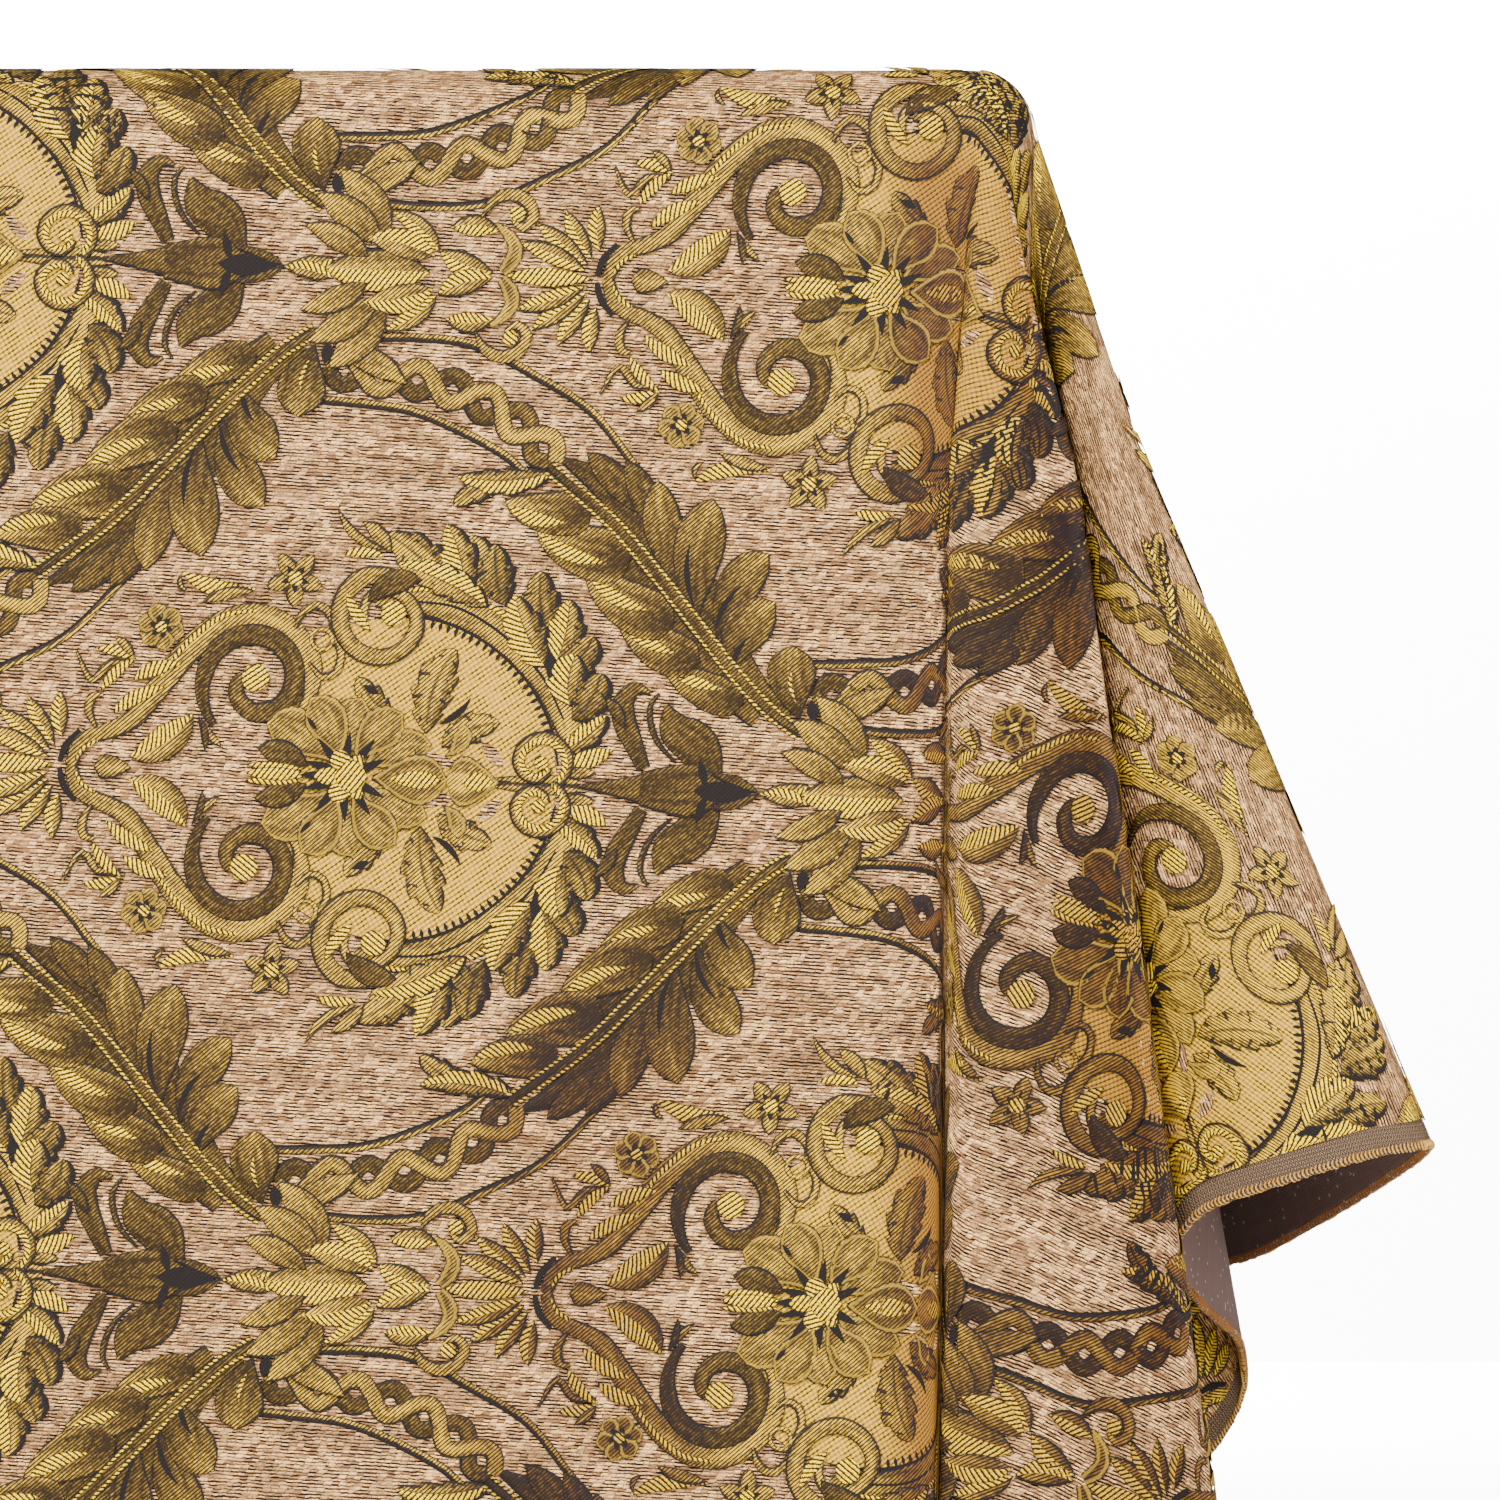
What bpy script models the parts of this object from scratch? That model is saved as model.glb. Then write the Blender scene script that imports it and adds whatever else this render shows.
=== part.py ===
"""Chenille damask cloth draped over a plain display plinth.

Metres, +Z up. The origin is on the floor under the middle of the plinth, and the
front drop of the cloth hangs in the plane that faces -Y.
"""

import math

import bmesh
import bpy

# The plinth
PLINTH_WIDTH = 0.640
PLINTH_DEPTH = 0.420
PLINTH_HEIGHT = 0.760
PLINTH_EDGE = 0.017
FOOT_HEIGHT = 0.060
FOOT_SETBACK = 0.030
SEAT_GAP = 0.0003

# The cloth: one cut length, selvedge to selvedge
CLOTH_THICKNESS = 0.0020
SIDE_OVERHANG = 0.395
FRONT_OVERHANG = 0.520
BACK_MARGIN = 0.012
EDGE_CLEARANCE = 0.0020
EDGE_LIFT_WIDTH = 0.040
SELVEDGE_SLOPE = 0.045

BEND = PLINTH_EDGE + EDGE_CLEARANCE + CLOTH_THICKNESS / 2
CORNER_X = PLINTH_WIDTH / 2 - PLINTH_EDGE
FRONT_Y = -PLINTH_DEPTH / 2 + PLINTH_EDGE
BACK_Y = PLINTH_DEPTH / 2 - BACK_MARGIN
BENT_LENGTH = BEND * math.pi / 2

# The tucked part of a corner, as angles in the cloth, and how late its folds form
TUCK_ANGLE = 50.0
TUCK_SPREAD = 30.0
TUCK_DELAY = 1.4

# The depths below the top, measured along the cloth, at which the tables hold a section
UPPER_SECTION = 0.150
LOWER_SECTION = 0.450

# Right front corner. Each row is one line of the cloth that runs from the corner to the
# hem: its angle in the cloth from the front drop's edge, in degrees, then how far right
# and forward of the corner it lies at the upper and at the lower section, in mm, and
# how much the slant pull lengthens it.
# angle, right_up, forward_up, right_low, forward_low, stretch
RIGHT_CORNER = (
    (0.0, -9.5, 22.0, -13.5, 27.0, 1.000),
    (4.0, -9.8, 21.2, -12.6, 24.0, 1.010),
    (8.0, -8.5, 20.8, -11.8, 22.2, 1.025),
    (11.0, -5.0, 21.0, -11.3, 21.4, 1.035),
    (13.5, 2.5, 22.5, -10.8, 21.4, 1.040),
    (15.0, 7.5, 24.0, -5.0, 23.5, 1.045),
    (18.0, 15.5, 27.0, 18.0, 31.0, 1.045),
    (21.0, 22.0, 30.5, 40.0, 41.0, 1.050),
    (24.0, 28.0, 34.5, 60.0, 53.0, 1.050),
    (26.0, 32.0, 37.0, 70.0, 62.5, 1.050),
    (27.5, 33.3, 37.0, 72.5, 63.0, 1.050),
    (29.5, 32.8, 33.0, 71.5, 54.0, 1.040),
    (36.0, 28.0, 20.5, 50.0, 6.0, 1.030),
    (44.0, 23.2, 8.0, 24.5, -53.0, 1.030),
    (46.5, 23.2, 4.0, 24.0, -62.0, 1.030),
    (50.0, 27.0, 0.0, 43.0, -69.0, 1.030),
    (54.5, 35.0, -5.5, 80.0, -72.0, 1.030),
    (57.5, 38.5, -5.0, 91.5, -69.0, 1.020),
    (60.0, 39.5, 1.0, 92.0, -54.0, 1.015),
    (66.0, 37.5, 12.5, 80.0, -3.0, 1.010),
    (69.5, 36.0, 19.0, 71.5, 28.0, 1.000),
    (71.5, 36.0, 21.5, 71.0, 38.5, 1.000),
    (74.0, 38.6, 25.0, 83.0, 50.0, 0.985),
    (79.0, 45.0, 32.0, 117.0, 78.0, 1.000),
    (84.0, 51.5, 36.0, 150.0, 88.0, 1.018),
    (87.5, 54.5, 36.5, 167.0, 84.0, 1.030),
    (90.0, 55.0, 34.5, 169.0, 72.0, 1.030),
)

# Left front corner, which stands in one plain fold.
LEFT_CORNER = (
    (0.0, 0.0, 20.0, 0.0, 20.0, 1.000),
    (10.0, 9.0, 22.5, 17.0, 29.0, 1.010),
    (20.0, 21.0, 30.0, 48.0, 66.0, 1.020),
    (27.0, 30.0, 36.0, 70.0, 92.0, 1.030),
    (31.0, 33.0, 35.0, 80.0, 92.0, 1.030),
    (35.0, 32.0, 27.0, 80.0, 70.0, 1.030),
    (42.0, 27.0, 14.0, 60.0, 22.0, 1.020),
    (47.0, 25.5, 8.0, 50.0, -5.0, 1.020),
    (52.0, 27.0, 4.0, 56.0, -26.0, 1.020),
    (60.0, 36.0, 2.0, 100.0, -44.0, 1.020),
    (68.0, 46.0, 1.0, 146.0, -58.0, 1.020),
    (74.0, 51.0, -2.0, 168.0, -72.0, 1.020),
    (79.0, 50.0, -8.0, 166.0, -96.0, 1.015),
    (85.0, 45.0, -14.0, 142.0, -124.0, 1.010),
    (90.0, 42.0, -20.0, 122.0, -142.0, 1.000),
)

# Side drops. Each row is one line that starts on the plinth's side edge: its distance
# behind the corner, how far out from the bend it lies at the upper and lower section,
# and how far it is carried forward there, in mm, and its stretch.
# behind, out_up, forward_up, out_low, forward_low, stretch
RIGHT_DROP = (
    (0.0, 55.0, 34.5, 169.0, 72.0, 1.030),
    (18.0, 54.0, 34.0, 166.0, 71.0, 1.035),
    (50.0, 50.0, 32.0, 151.0, 69.0, 1.045),
    (90.0, 43.0, 28.0, 127.0, 66.0, 1.060),
    (140.0, 35.0, 22.0, 97.0, 62.0, 1.075),
    (190.0, 29.0, 17.0, 70.0, 62.0, 1.070),
    (250.0, 24.0, 11.0, 47.0, 62.0, 1.055),
    (320.0, 22.0, 7.0, 35.0, 56.0, 1.035),
    (400.0, 21.0, 4.0, 29.0, 48.0, 1.020),
)
LEFT_DROP = (
    (0.0, 42.0, -20.0, 122.0, -142.0, 1.000),
    (40.0, 34.0, -15.0, 88.0, -128.0, 1.000),
    (90.0, 26.0, -8.0, 56.0, -104.0, 1.000),
    (150.0, 23.0, -2.0, 46.0, -72.0, 1.000),
    (210.0, 24.0, 0.0, 58.0, -40.0, 1.000),
    (270.0, 26.0, 0.0, 64.0, -18.0, 1.000),
    (330.0, 24.0, 0.0, 46.0, -8.0, 1.000),
    (400.0, 21.0, 0.0, 28.0, -4.0, 1.000),
)

# Front drop near the right corner, where the flat panel lifts to a soft ridge and turns
# back into the crease: distance left of the corner, shift left and lift, in mm.
# inward, shift_up, lift_up, shift_low, lift_low
RIGHT_RIDGE = (
    (0.0, 9.5, 2.0, 13.5, 7.0),
    (8.0, 4.5, 2.5, 6.5, 8.5),
    (16.0, 1.0, 2.0, 1.5, 8.0),
    (30.0, 0.0, 1.0, 0.0, 5.0),
    (50.0, 0.0, 0.2, 0.0, 1.6),
    (75.0, 0.0, 0.0, 0.0, 0.0),
)

TOP_COLUMNS = 26
TOP_ROWS = 13
RIGHT_FAN_STEPS = 40
LEFT_FAN_STEPS = 24
DROP_ROWS = (0.0, 0.012, 0.022, 0.034, 0.060, 0.10, 0.15, 0.21, 0.28, 0.36, 0.44, 0.52,
             0.60, 0.68, 0.76, 0.84, 0.92, 1.0)
WALK_STEP = 0.004


def smooth(value):
    """Zero to one with level ends, and clamped outside them."""
    value = min(max(value, 0.0), 1.0)
    return value * value * (3 - 2 * value)


def read_row(table, key):
    """The table's columns at a key between its rows, on a smooth curve through them."""
    rows = len(table)
    index = max(i for i in range(rows - 1) if i == 0 or table[i][0] <= key)
    low, high = table[index], table[index + 1]
    span = high[0] - low[0]
    t = min(max((key - low[0]) / span, 0.0), 1.0)
    before = table[max(index - 1, 0)]
    after = table[min(index + 2, rows - 1)]
    values = []
    for column in range(1, len(low)):
        rise = high[column] - low[column]
        start = end = rise
        if low is not before:
            start = slope_between(before, low, high, column) * span
        if after is not high:
            end = slope_between(low, high, after, column) * span
        values.append(
            low[column] * (2 * t**3 - 3 * t**2 + 1)
            + start * (t**3 - 2 * t**2 + t)
            + high[column] * (3 * t**2 - 2 * t**3)
            + end * (t**3 - t**2)
        )
    return values


def slope_between(before, here, after, column):
    """The slope at a row that doesn't overshoot its neighbours."""
    left = (here[column] - before[column]) / (here[0] - before[0])
    right = (after[column] - here[column]) / (after[0] - here[0])
    if left * right <= 0:
        return 0.0
    return 2 * left * right / (left + right)


def plan_offset(start, upper, lower, onset, along):
    """Where a line of cloth lies, seen from above, this far below the top."""
    if along <= BENT_LENGTH:
        share = math.sin(along / BEND)
        return start[0] * share, start[1] * share
    if along <= UPPER_SECTION:
        share = (along - BENT_LENGTH) / (UPPER_SECTION - BENT_LENGTH)
        share = share**onset
        return tuple(a + (b - a) * share for a, b in zip(start, upper))
    share = (along - UPPER_SECTION) / (LOWER_SECTION - UPPER_SECTION)
    return tuple(a + (b - a) * share for a, b in zip(upper, lower))


def hang(origin, start, upper, lower, length, onset=1.0):
    """Points down one line of cloth: the height follows from the length of the cloth."""
    points = []
    height = 0.0
    walked = 0.0
    last = (0.0, 0.0)
    for share in DROP_ROWS:
        target = share * length
        while walked < target - 1e-9:
            step = min(WALK_STEP, target - walked)
            walked += step
            here = plan_offset(start, upper, lower, onset, walked)
            across = math.hypot(here[0] - last[0], here[1] - last[1])
            last = here
            height -= math.sqrt(max(step * step - across * across, (0.1 * step) ** 2))
        points.append((origin[0] + last[0], origin[1] + last[1], origin[2] + height))
    return points


def fold_onset(angle):
    """How slowly a line leaves the bend: the tucked folds form only below it."""
    off_centre = (angle - TUCK_ANGLE) / TUCK_SPREAD
    return 1.0 + TUCK_DELAY * max(1 - off_centre**2, 0.0) ** 2


def millimetres(right, forward, side):
    """A pair of table values as an offset in the frame, for the right or left side."""
    return side * right / 1000, -forward / 1000


def edge_height(x, y):
    """The middle of the cloth over the plinth's top, which lifts towards the edges."""
    inset = min(CORNER_X - abs(x), y - FRONT_Y, BACK_Y - y + EDGE_LIFT_WIDTH)
    lift = (EDGE_CLEARANCE - SEAT_GAP) * smooth(1 - inset / EDGE_LIFT_WIDTH)
    return PLINTH_HEIGHT + SEAT_GAP + CLOTH_THICKNESS / 2 + lift


def side_length(behind):
    """The overhang at a side, which grows towards the back as the cloth lies askew."""
    return SIDE_OVERHANG + SELVEDGE_SLOPE * behind


def front_line(x):
    """One line of the front drop, from the top's front edge to the front hem."""
    inward = (CORNER_X - x) * 1000
    shift_up, lift_up, shift_low, lift_low = read_row(RIGHT_RIDGE, inward)
    bend = BEND * 1000
    upper = millimetres(-shift_up, bend + lift_up, 1)
    lower = millimetres(-shift_low, bend + lift_low, 1)
    origin = (x, FRONT_Y, edge_height(x, FRONT_Y))
    return hang(origin, (0.0, -BEND), upper, lower, FRONT_OVERHANG)


def corner_line(table, side, angle):
    """One line of a corner, from the corner of the top to the hem or the selvedge."""
    right_up, forward_up, right_low, forward_low, stretch = read_row(table, angle)
    turn = math.radians(angle)
    start = (side * BEND * math.sin(turn), -BEND * math.cos(turn))
    upper = millimetres(right_up, forward_up, side)
    lower = millimetres(right_low, forward_low, side)
    to_hem = FRONT_OVERHANG / max(math.cos(turn), 1e-6)
    to_selvedge = SIDE_OVERHANG / max(math.sin(turn), 1e-6)
    length = min(to_hem, to_selvedge) * stretch
    origin = (side * CORNER_X, FRONT_Y, edge_height(CORNER_X, FRONT_Y))
    return hang(origin, start, upper, lower, length, fold_onset(angle))


def side_line(table, side, y):
    """One line of a side drop, from the plinth's side edge to the selvedge."""
    behind = y - FRONT_Y
    out_up, forward_up, out_low, forward_low, stretch = read_row(table, behind * 1000)
    upper = millimetres(out_up, forward_up, side)
    lower = millimetres(out_low, forward_low, side)
    origin = (side * CORNER_X, y, edge_height(CORNER_X, y))
    length = side_length(behind) * stretch
    return hang(origin, (side * BEND, 0.0), upper, lower, length)


def spread(first, last, steps, crowd):
    """Steps from first to last, crowded towards the first by the power given."""
    return [first + (last - first) * (i / steps) ** crowd for i in range(steps + 1)]


def fan_angles(table, steps):
    """Angles through a corner, shared out so that folded parts get more of them."""
    corner = math.atan2(SIDE_OVERHANG, FRONT_OVERHANG)
    fine = [table[-1][0] * i / 400 for i in range(401)]
    reach = [0.0]
    for low, high in zip(fine, fine[1:]):
        a, b = read_row(table, low), read_row(table, high)
        moved = math.hypot(b[2] - a[2], b[3] - a[3])
        reach.append(reach[-1] + moved + 2.0 * (high - low))
    angles = []
    for step in range(steps + 1):
        wanted = reach[-1] * step / steps
        index = min(i for i, value in enumerate(reach) if value >= wanted - 1e-9)
        angles.append(fine[index])
    cloth_corner = math.degrees(corner)
    nearest = min(range(1, steps), key=lambda i: abs(angles[i] - cloth_corner))
    angles[nearest] = cloth_corner
    return angles


def material(name, colour, roughness, metallic=0.0):
    made = bpy.data.materials.new(name)
    made.use_nodes = True
    shader = made.node_tree.nodes["Principled BSDF"]
    shader.inputs["Base Color"].default_value = (*colour, 1.0)
    shader.inputs["Roughness"].default_value = roughness
    shader.inputs["Metallic"].default_value = metallic
    return made


def build_cloth(collection):
    """The whole cloth as one open surface of drops around the top, then Solidify."""
    mesh = bmesh.new()
    known = {}

    def vertex(point):
        key = tuple(round(value * 1e5) for value in point)
        if key not in known:
            known[key] = mesh.verts.new(point)
        return known[key]

    def patch(lines, outward):
        grid = [[vertex(point) for point in line] for line in lines]
        for left, right in zip(grid, grid[1:]):
            for row in range(len(left) - 1):
                face = [left[row], left[row + 1], right[row + 1], right[row]]
                face = [v for i, v in enumerate(face) if v not in face[:i]]
                if len(face) > 2:
                    mesh.faces.new(face if outward else face[::-1])

    columns = spread(CORNER_X, -CORNER_X, TOP_COLUMNS, 1.35)
    rows = spread(FRONT_Y, BACK_Y, TOP_ROWS, 1.1)
    top = [[(x, y, edge_height(x, y)) for y in rows] for x in columns]
    patch(top, True)
    patch([front_line(x) for x in columns], False)
    right_angles = fan_angles(RIGHT_CORNER, RIGHT_FAN_STEPS)
    left_angles = fan_angles(LEFT_CORNER, LEFT_FAN_STEPS)
    patch([corner_line(RIGHT_CORNER, 1, angle) for angle in right_angles], True)
    patch([corner_line(LEFT_CORNER, -1, angle) for angle in left_angles], False)
    patch([side_line(RIGHT_DROP, 1, y) for y in rows], True)
    patch([side_line(LEFT_DROP, -1, y) for y in rows], False)

    data = bpy.data.meshes.new("damask_cloth")
    mesh.to_mesh(data)
    mesh.free()
    data.shade_smooth()
    cloth = bpy.data.objects.new("damask_cloth", data)
    collection.objects.link(cloth)
    solid = cloth.modifiers.new("thickness", "SOLIDIFY")
    solid.thickness = CLOTH_THICKNESS
    solid.offset = 0.0
    data.materials.append(material("chenille_damask", (0.42, 0.31, 0.19), 0.75))
    return cloth


def box(collection, name, size, base, finish):
    """A box that stands at this height, on the plinth's middle line."""
    bpy.ops.mesh.primitive_cube_add(size=1.0, location=(0, 0, base + size[2] / 2))
    made = bpy.context.object
    made.name = name
    made.data.name = name
    made.scale = size
    bpy.ops.object.transform_apply(location=False, rotation=False, scale=True)
    made.data.materials.append(finish)
    for owner in made.users_collection:
        owner.objects.unlink(made)
    collection.objects.link(made)
    return made


def build_plinth(collection):
    """A plain box with eased edges on a foot that is set back."""
    paint = material("plinth_paint", (0.80, 0.79, 0.76), 0.55)
    dark = material("foot_paint", (0.16, 0.15, 0.14), 0.60)
    inset = 2 * FOOT_SETBACK
    foot_size = (PLINTH_WIDTH - inset, PLINTH_DEPTH - inset, FOOT_HEIGHT)
    box(collection, "plinth_foot", foot_size, 0.0, dark)
    base = FOOT_HEIGHT + SEAT_GAP
    size = (PLINTH_WIDTH, PLINTH_DEPTH, PLINTH_HEIGHT - base)
    body = box(collection, "plinth_body", size, base, paint)
    edge = body.modifiers.new("eased_edges", "BEVEL")
    edge.width = PLINTH_EDGE
    edge.segments = 5
    edge.limit_method = "WEIGHT"
    weights = body.data.attributes.new("bevel_weight_edge", "FLOAT", "EDGE")
    for number, line in enumerate(body.data.edges):
        ends = [body.data.vertices[i].co.z for i in line.vertices]
        weights.data[number].value = 1.0 if max(ends) > 0 else 0.0
    body.data.shade_smooth()
    return body


def main():
    for old in list(bpy.data.objects):
        bpy.data.objects.remove(old, do_unlink=True)
    collection = bpy.data.collections.new("draped_chenille_damask")
    bpy.context.scene.collection.children.link(collection)
    build_plinth(collection)
    build_cloth(collection)


if __name__ == "__main__":
    main()
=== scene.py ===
"""Chenille damask cloth draped over a display plinth: the finished look of every surface.

Metres, +Z up. The cloth's own coordinates are u, to the right along the front edge, and
v, down the front drop, both counted from the right front corner of the plinth's top.
"""

import math

import bpy
import numpy as np
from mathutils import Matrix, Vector


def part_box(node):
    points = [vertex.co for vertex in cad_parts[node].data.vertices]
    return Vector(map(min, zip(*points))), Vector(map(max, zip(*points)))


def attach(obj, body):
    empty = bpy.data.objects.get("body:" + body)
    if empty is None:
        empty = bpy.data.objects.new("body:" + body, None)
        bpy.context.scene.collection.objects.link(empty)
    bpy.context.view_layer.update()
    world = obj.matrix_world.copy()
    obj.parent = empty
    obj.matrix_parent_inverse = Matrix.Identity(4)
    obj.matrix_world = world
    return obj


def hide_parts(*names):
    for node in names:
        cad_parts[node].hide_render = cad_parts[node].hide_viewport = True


bl_info = {
    "name": "Draped chenille damask",
    "version": (1, 0, 0),
    "blender": (4, 5, 0),
    "location": "View3D > Sidebar > Damask",
    "description": "Weaves and drapes a chenille damask over a display plinth",
    "category": "Object",
}

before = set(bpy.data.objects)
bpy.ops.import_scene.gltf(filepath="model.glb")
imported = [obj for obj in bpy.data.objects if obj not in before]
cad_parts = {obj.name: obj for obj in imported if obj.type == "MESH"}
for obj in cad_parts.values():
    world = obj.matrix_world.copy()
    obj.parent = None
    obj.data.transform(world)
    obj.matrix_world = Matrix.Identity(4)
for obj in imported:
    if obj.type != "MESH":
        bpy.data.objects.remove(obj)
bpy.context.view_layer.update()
PLINTH_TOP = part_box("plinth_body")[1][2]

# How the cloth hangs, as in the model of the part
PLINTH_WIDTH = 0.640
PLINTH_DEPTH = 0.420
PLINTH_EDGE = 0.017
SEAT_GAP = 0.0003
SEATED_THICKNESS = 0.0020
SIDE_OVERHANG = 0.395
FRONT_OVERHANG = 0.520
BACK_MARGIN = 0.012
EDGE_CLEARANCE = 0.0020
EDGE_LIFT_WIDTH = 0.040
SELVEDGE_SLOPE = 0.045
BEND = PLINTH_EDGE + EDGE_CLEARANCE + SEATED_THICKNESS / 2
CORNER_X = PLINTH_WIDTH / 2 - PLINTH_EDGE
FRONT_Y = -PLINTH_DEPTH / 2 + PLINTH_EDGE
BACK_Y = PLINTH_DEPTH / 2 - BACK_MARGIN
TOP_DEPTH = BACK_Y - FRONT_Y
BENT_LENGTH = BEND * math.pi / 2
TUCK_ANGLE = 50.0
TUCK_SPREAD = 30.0
TUCK_DELAY = 1.4
UPPER_SECTION = 0.150
LOWER_SECTION = 0.450
WALK_STEP = 0.004
FLAT_WIDTH = 2 * CORNER_X + 2 * SIDE_OVERHANG
FLAT_LENGTH = FRONT_OVERHANG + BACK_Y - FRONT_Y
MIRROR_U = -2 * CORNER_X

# angle, right_up, forward_up, right_low, forward_low (mm), stretch
RIGHT_CORNER = (
    (0, -9.5, 22, -13.5, 27, 1),
    (4, -9.8, 21.2, -12.6, 24, 1.01),
    (8, -8.5, 20.8, -11.8, 22.2, 1.025),
    (11, -5, 21, -11.3, 21.4, 1.035),
    (13.5, 2.5, 22.5, -10.8, 21.4, 1.04),
    (15, 7.5, 24, -5, 23.5, 1.045),
    (18, 15.5, 27, 18, 31, 1.045),
    (21, 22, 30.5, 40, 41, 1.05),
    (24, 28, 34.5, 60, 53, 1.05),
    (26, 32, 37, 70, 62.5, 1.05),
    (27.5, 33.3, 37, 72.5, 63, 1.05),
    (29.5, 32.8, 33, 71.5, 54, 1.04),
    (36, 28, 20.5, 50, 6, 1.03),
    (44, 23.2, 8, 24.5, -53, 1.03),
    (46.5, 23.2, 4, 24, -62, 1.03),
    (50, 27, 0, 43, -69, 1.03),
    (54.5, 35, -5.5, 80, -72, 1.03),
    (57.5, 38.5, -5, 91.5, -69, 1.02),
    (60, 39.5, 1, 92, -54, 1.015),
    (66, 37.5, 12.5, 80, -3, 1.01),
    (69.5, 36, 19, 71.5, 28, 1),
    (71.5, 36, 21.5, 71, 38.5, 1),
    (74, 38.6, 25, 83, 50, 0.985),
    (79, 45, 32, 117, 78, 1),
    (84, 51.5, 36, 150, 88, 1.018),
    (87.5, 54.5, 36.5, 167, 84, 1.03),
    (90, 55, 34.5, 169, 72, 1.03),
)
LEFT_CORNER = (
    (0, 0, 20, 0, 20, 1),
    (10, 9, 22.5, 17, 29, 1.01),
    (20, 21, 30, 48, 66, 1.02),
    (27, 30, 36, 70, 92, 1.03),
    (31, 33, 35, 80, 92, 1.03),
    (35, 32, 27, 80, 70, 1.03),
    (42, 27, 14, 60, 22, 1.02),
    (47, 25.5, 8, 50, -5, 1.02),
    (52, 27, 4, 56, -26, 1.02),
    (60, 36, 2, 100, -44, 1.02),
    (68, 46, 1, 146, -58, 1.02),
    (74, 51, -2, 168, -72, 1.02),
    (79, 50, -8, 166, -96, 1.015),
    (85, 45, -14, 142, -124, 1.01),
    (90, 42, -20, 122, -142, 1),
)
# behind, out_up, forward_up, out_low, forward_low (mm), stretch
RIGHT_DROP = (
    (0, 55, 34.5, 169, 72, 1.03),
    (18, 54, 34, 166, 71, 1.035),
    (50, 50, 32, 151, 69, 1.045),
    (90, 43, 28, 127, 66, 1.06),
    (140, 35, 22, 97, 62, 1.075),
    (190, 29, 17, 70, 62, 1.07),
    (250, 24, 11, 47, 62, 1.055),
    (320, 22, 7, 35, 56, 1.035),
    (400, 21, 4, 29, 48, 1.02),
)
LEFT_DROP = (
    (0, 42, -20, 122, -142, 1),
    (40, 34, -15, 88, -128, 1),
    (90, 26, -8, 56, -104, 1),
    (150, 23, -2, 46, -72, 1),
    (210, 24, 0, 58, -40, 1),
    (270, 26, 0, 64, -18, 1),
    (330, 24, 0, 46, -8, 1),
    (400, 21, 0, 28, -4, 1),
)
# inward, shift_up, lift_up, shift_low, lift_low (mm)
RIGHT_RIDGE = (
    (0, 9.5, 2, 13.5, 7),
    (8, 4.5, 2.5, 6.5, 8.5),
    (16, 1, 2, 1.5, 8),
    (30, 0, 1, 0, 5),
    (50, 0, 0.2, 0, 1.6),
    (75, 0, 0, 0, 0),
)

# The weave's draft. Its tables count in picks, the smallest step of the loom.
REPEAT = 0.343
PICKS_IN_REPEAT = 1013
PICK = REPEAT / PICKS_IN_REPEAT
ALONG_X = (0.99914, 0.0415)
ALONG_Y = (-0.0612, 0.99813)
FIRST_CENTRE = (-629, 740)
ACROSS_REPEAT = (1012, 42)
DOWN_REPEAT = (-62, 1012)
HALF_DROP = (475, 527)
UPPER_NODE = (0, -505)
PICK_MM = PICK * 1000

# The figure's medallion, its upper half: each blade is a leaf or petal from root to tip,
# in picks from the medallion's centre, in the order in which they are drawn. All but the
# middle ones are mirrored below the axis.
# look, then for each blade: root_x, root_y, tip_x, tip_y, bow, width
FLOWER_BLADES = (
    ("petal", (-14, -14, -80, -50, 8, 50), (18, -8, 86, -36, -6, 40), (2, -16, 14, -80, -5, 42),
     (-6, -16, -38, -78, 6, 44), (10, -14, 56, -66, -5, 44)),
    ("bronze", (-36, -9, -88, -25, 4, 27)), ("raised", (-40, -6, -98, -8, 0, 9)),
    ("dark", (0, -4, -40, -14, 0, 9), (0, -4, -27, -37, 0, 9), (0, -4, 4, -45, 0, 9),
     (4, -4, 29, -38, 0, 9), (6, -2, 41, -19, 0, 9), (44, -8, 70, -30, 12, 4),
     (-30, -46, -40, -58, 0, 5)),
    ("raised", (0, -4, -8, -27, 0, 21), (4, -2, 18, -22, 0, 17)),
)
FLOWER_MIDDLE = (
    ("petal", (28, 0, 104, 0, 0, 52)), ("raised", (46, 0, 98, 0, 0, 19), (-34, 0, -98, 0, 0, 14)),
    ("dark", (-14, 0, -44, 0, 0, 9)), ("raised", (4, 0, -31, 0, 0, 18), (-10, 0, 24, 0, 0, 34)),
    ("heart", (156, 0, 102, 0, 0, 52)), ("raised", (150, 0, 118, 0, 0, 20)),
)
FIELD_BLADES = (
    ("bloom", (46, -62, 8, -100, -4, 28), (80, -46, 104, -132, -8, 42)),
    ("dark", (92, -56, 122, -84, 4, 7)), ("bloom", (96, -33, 152, -60, -6, 32)),
    ("petal", (100, -24, 118, -58, 6, 20)), ("dark", (30, -84, 14, -92, 0, 8)),
    ("ground", (62, -30, 112, -18, 4, 15), (136, -40, 158, -16, 0, 13)),
)
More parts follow.
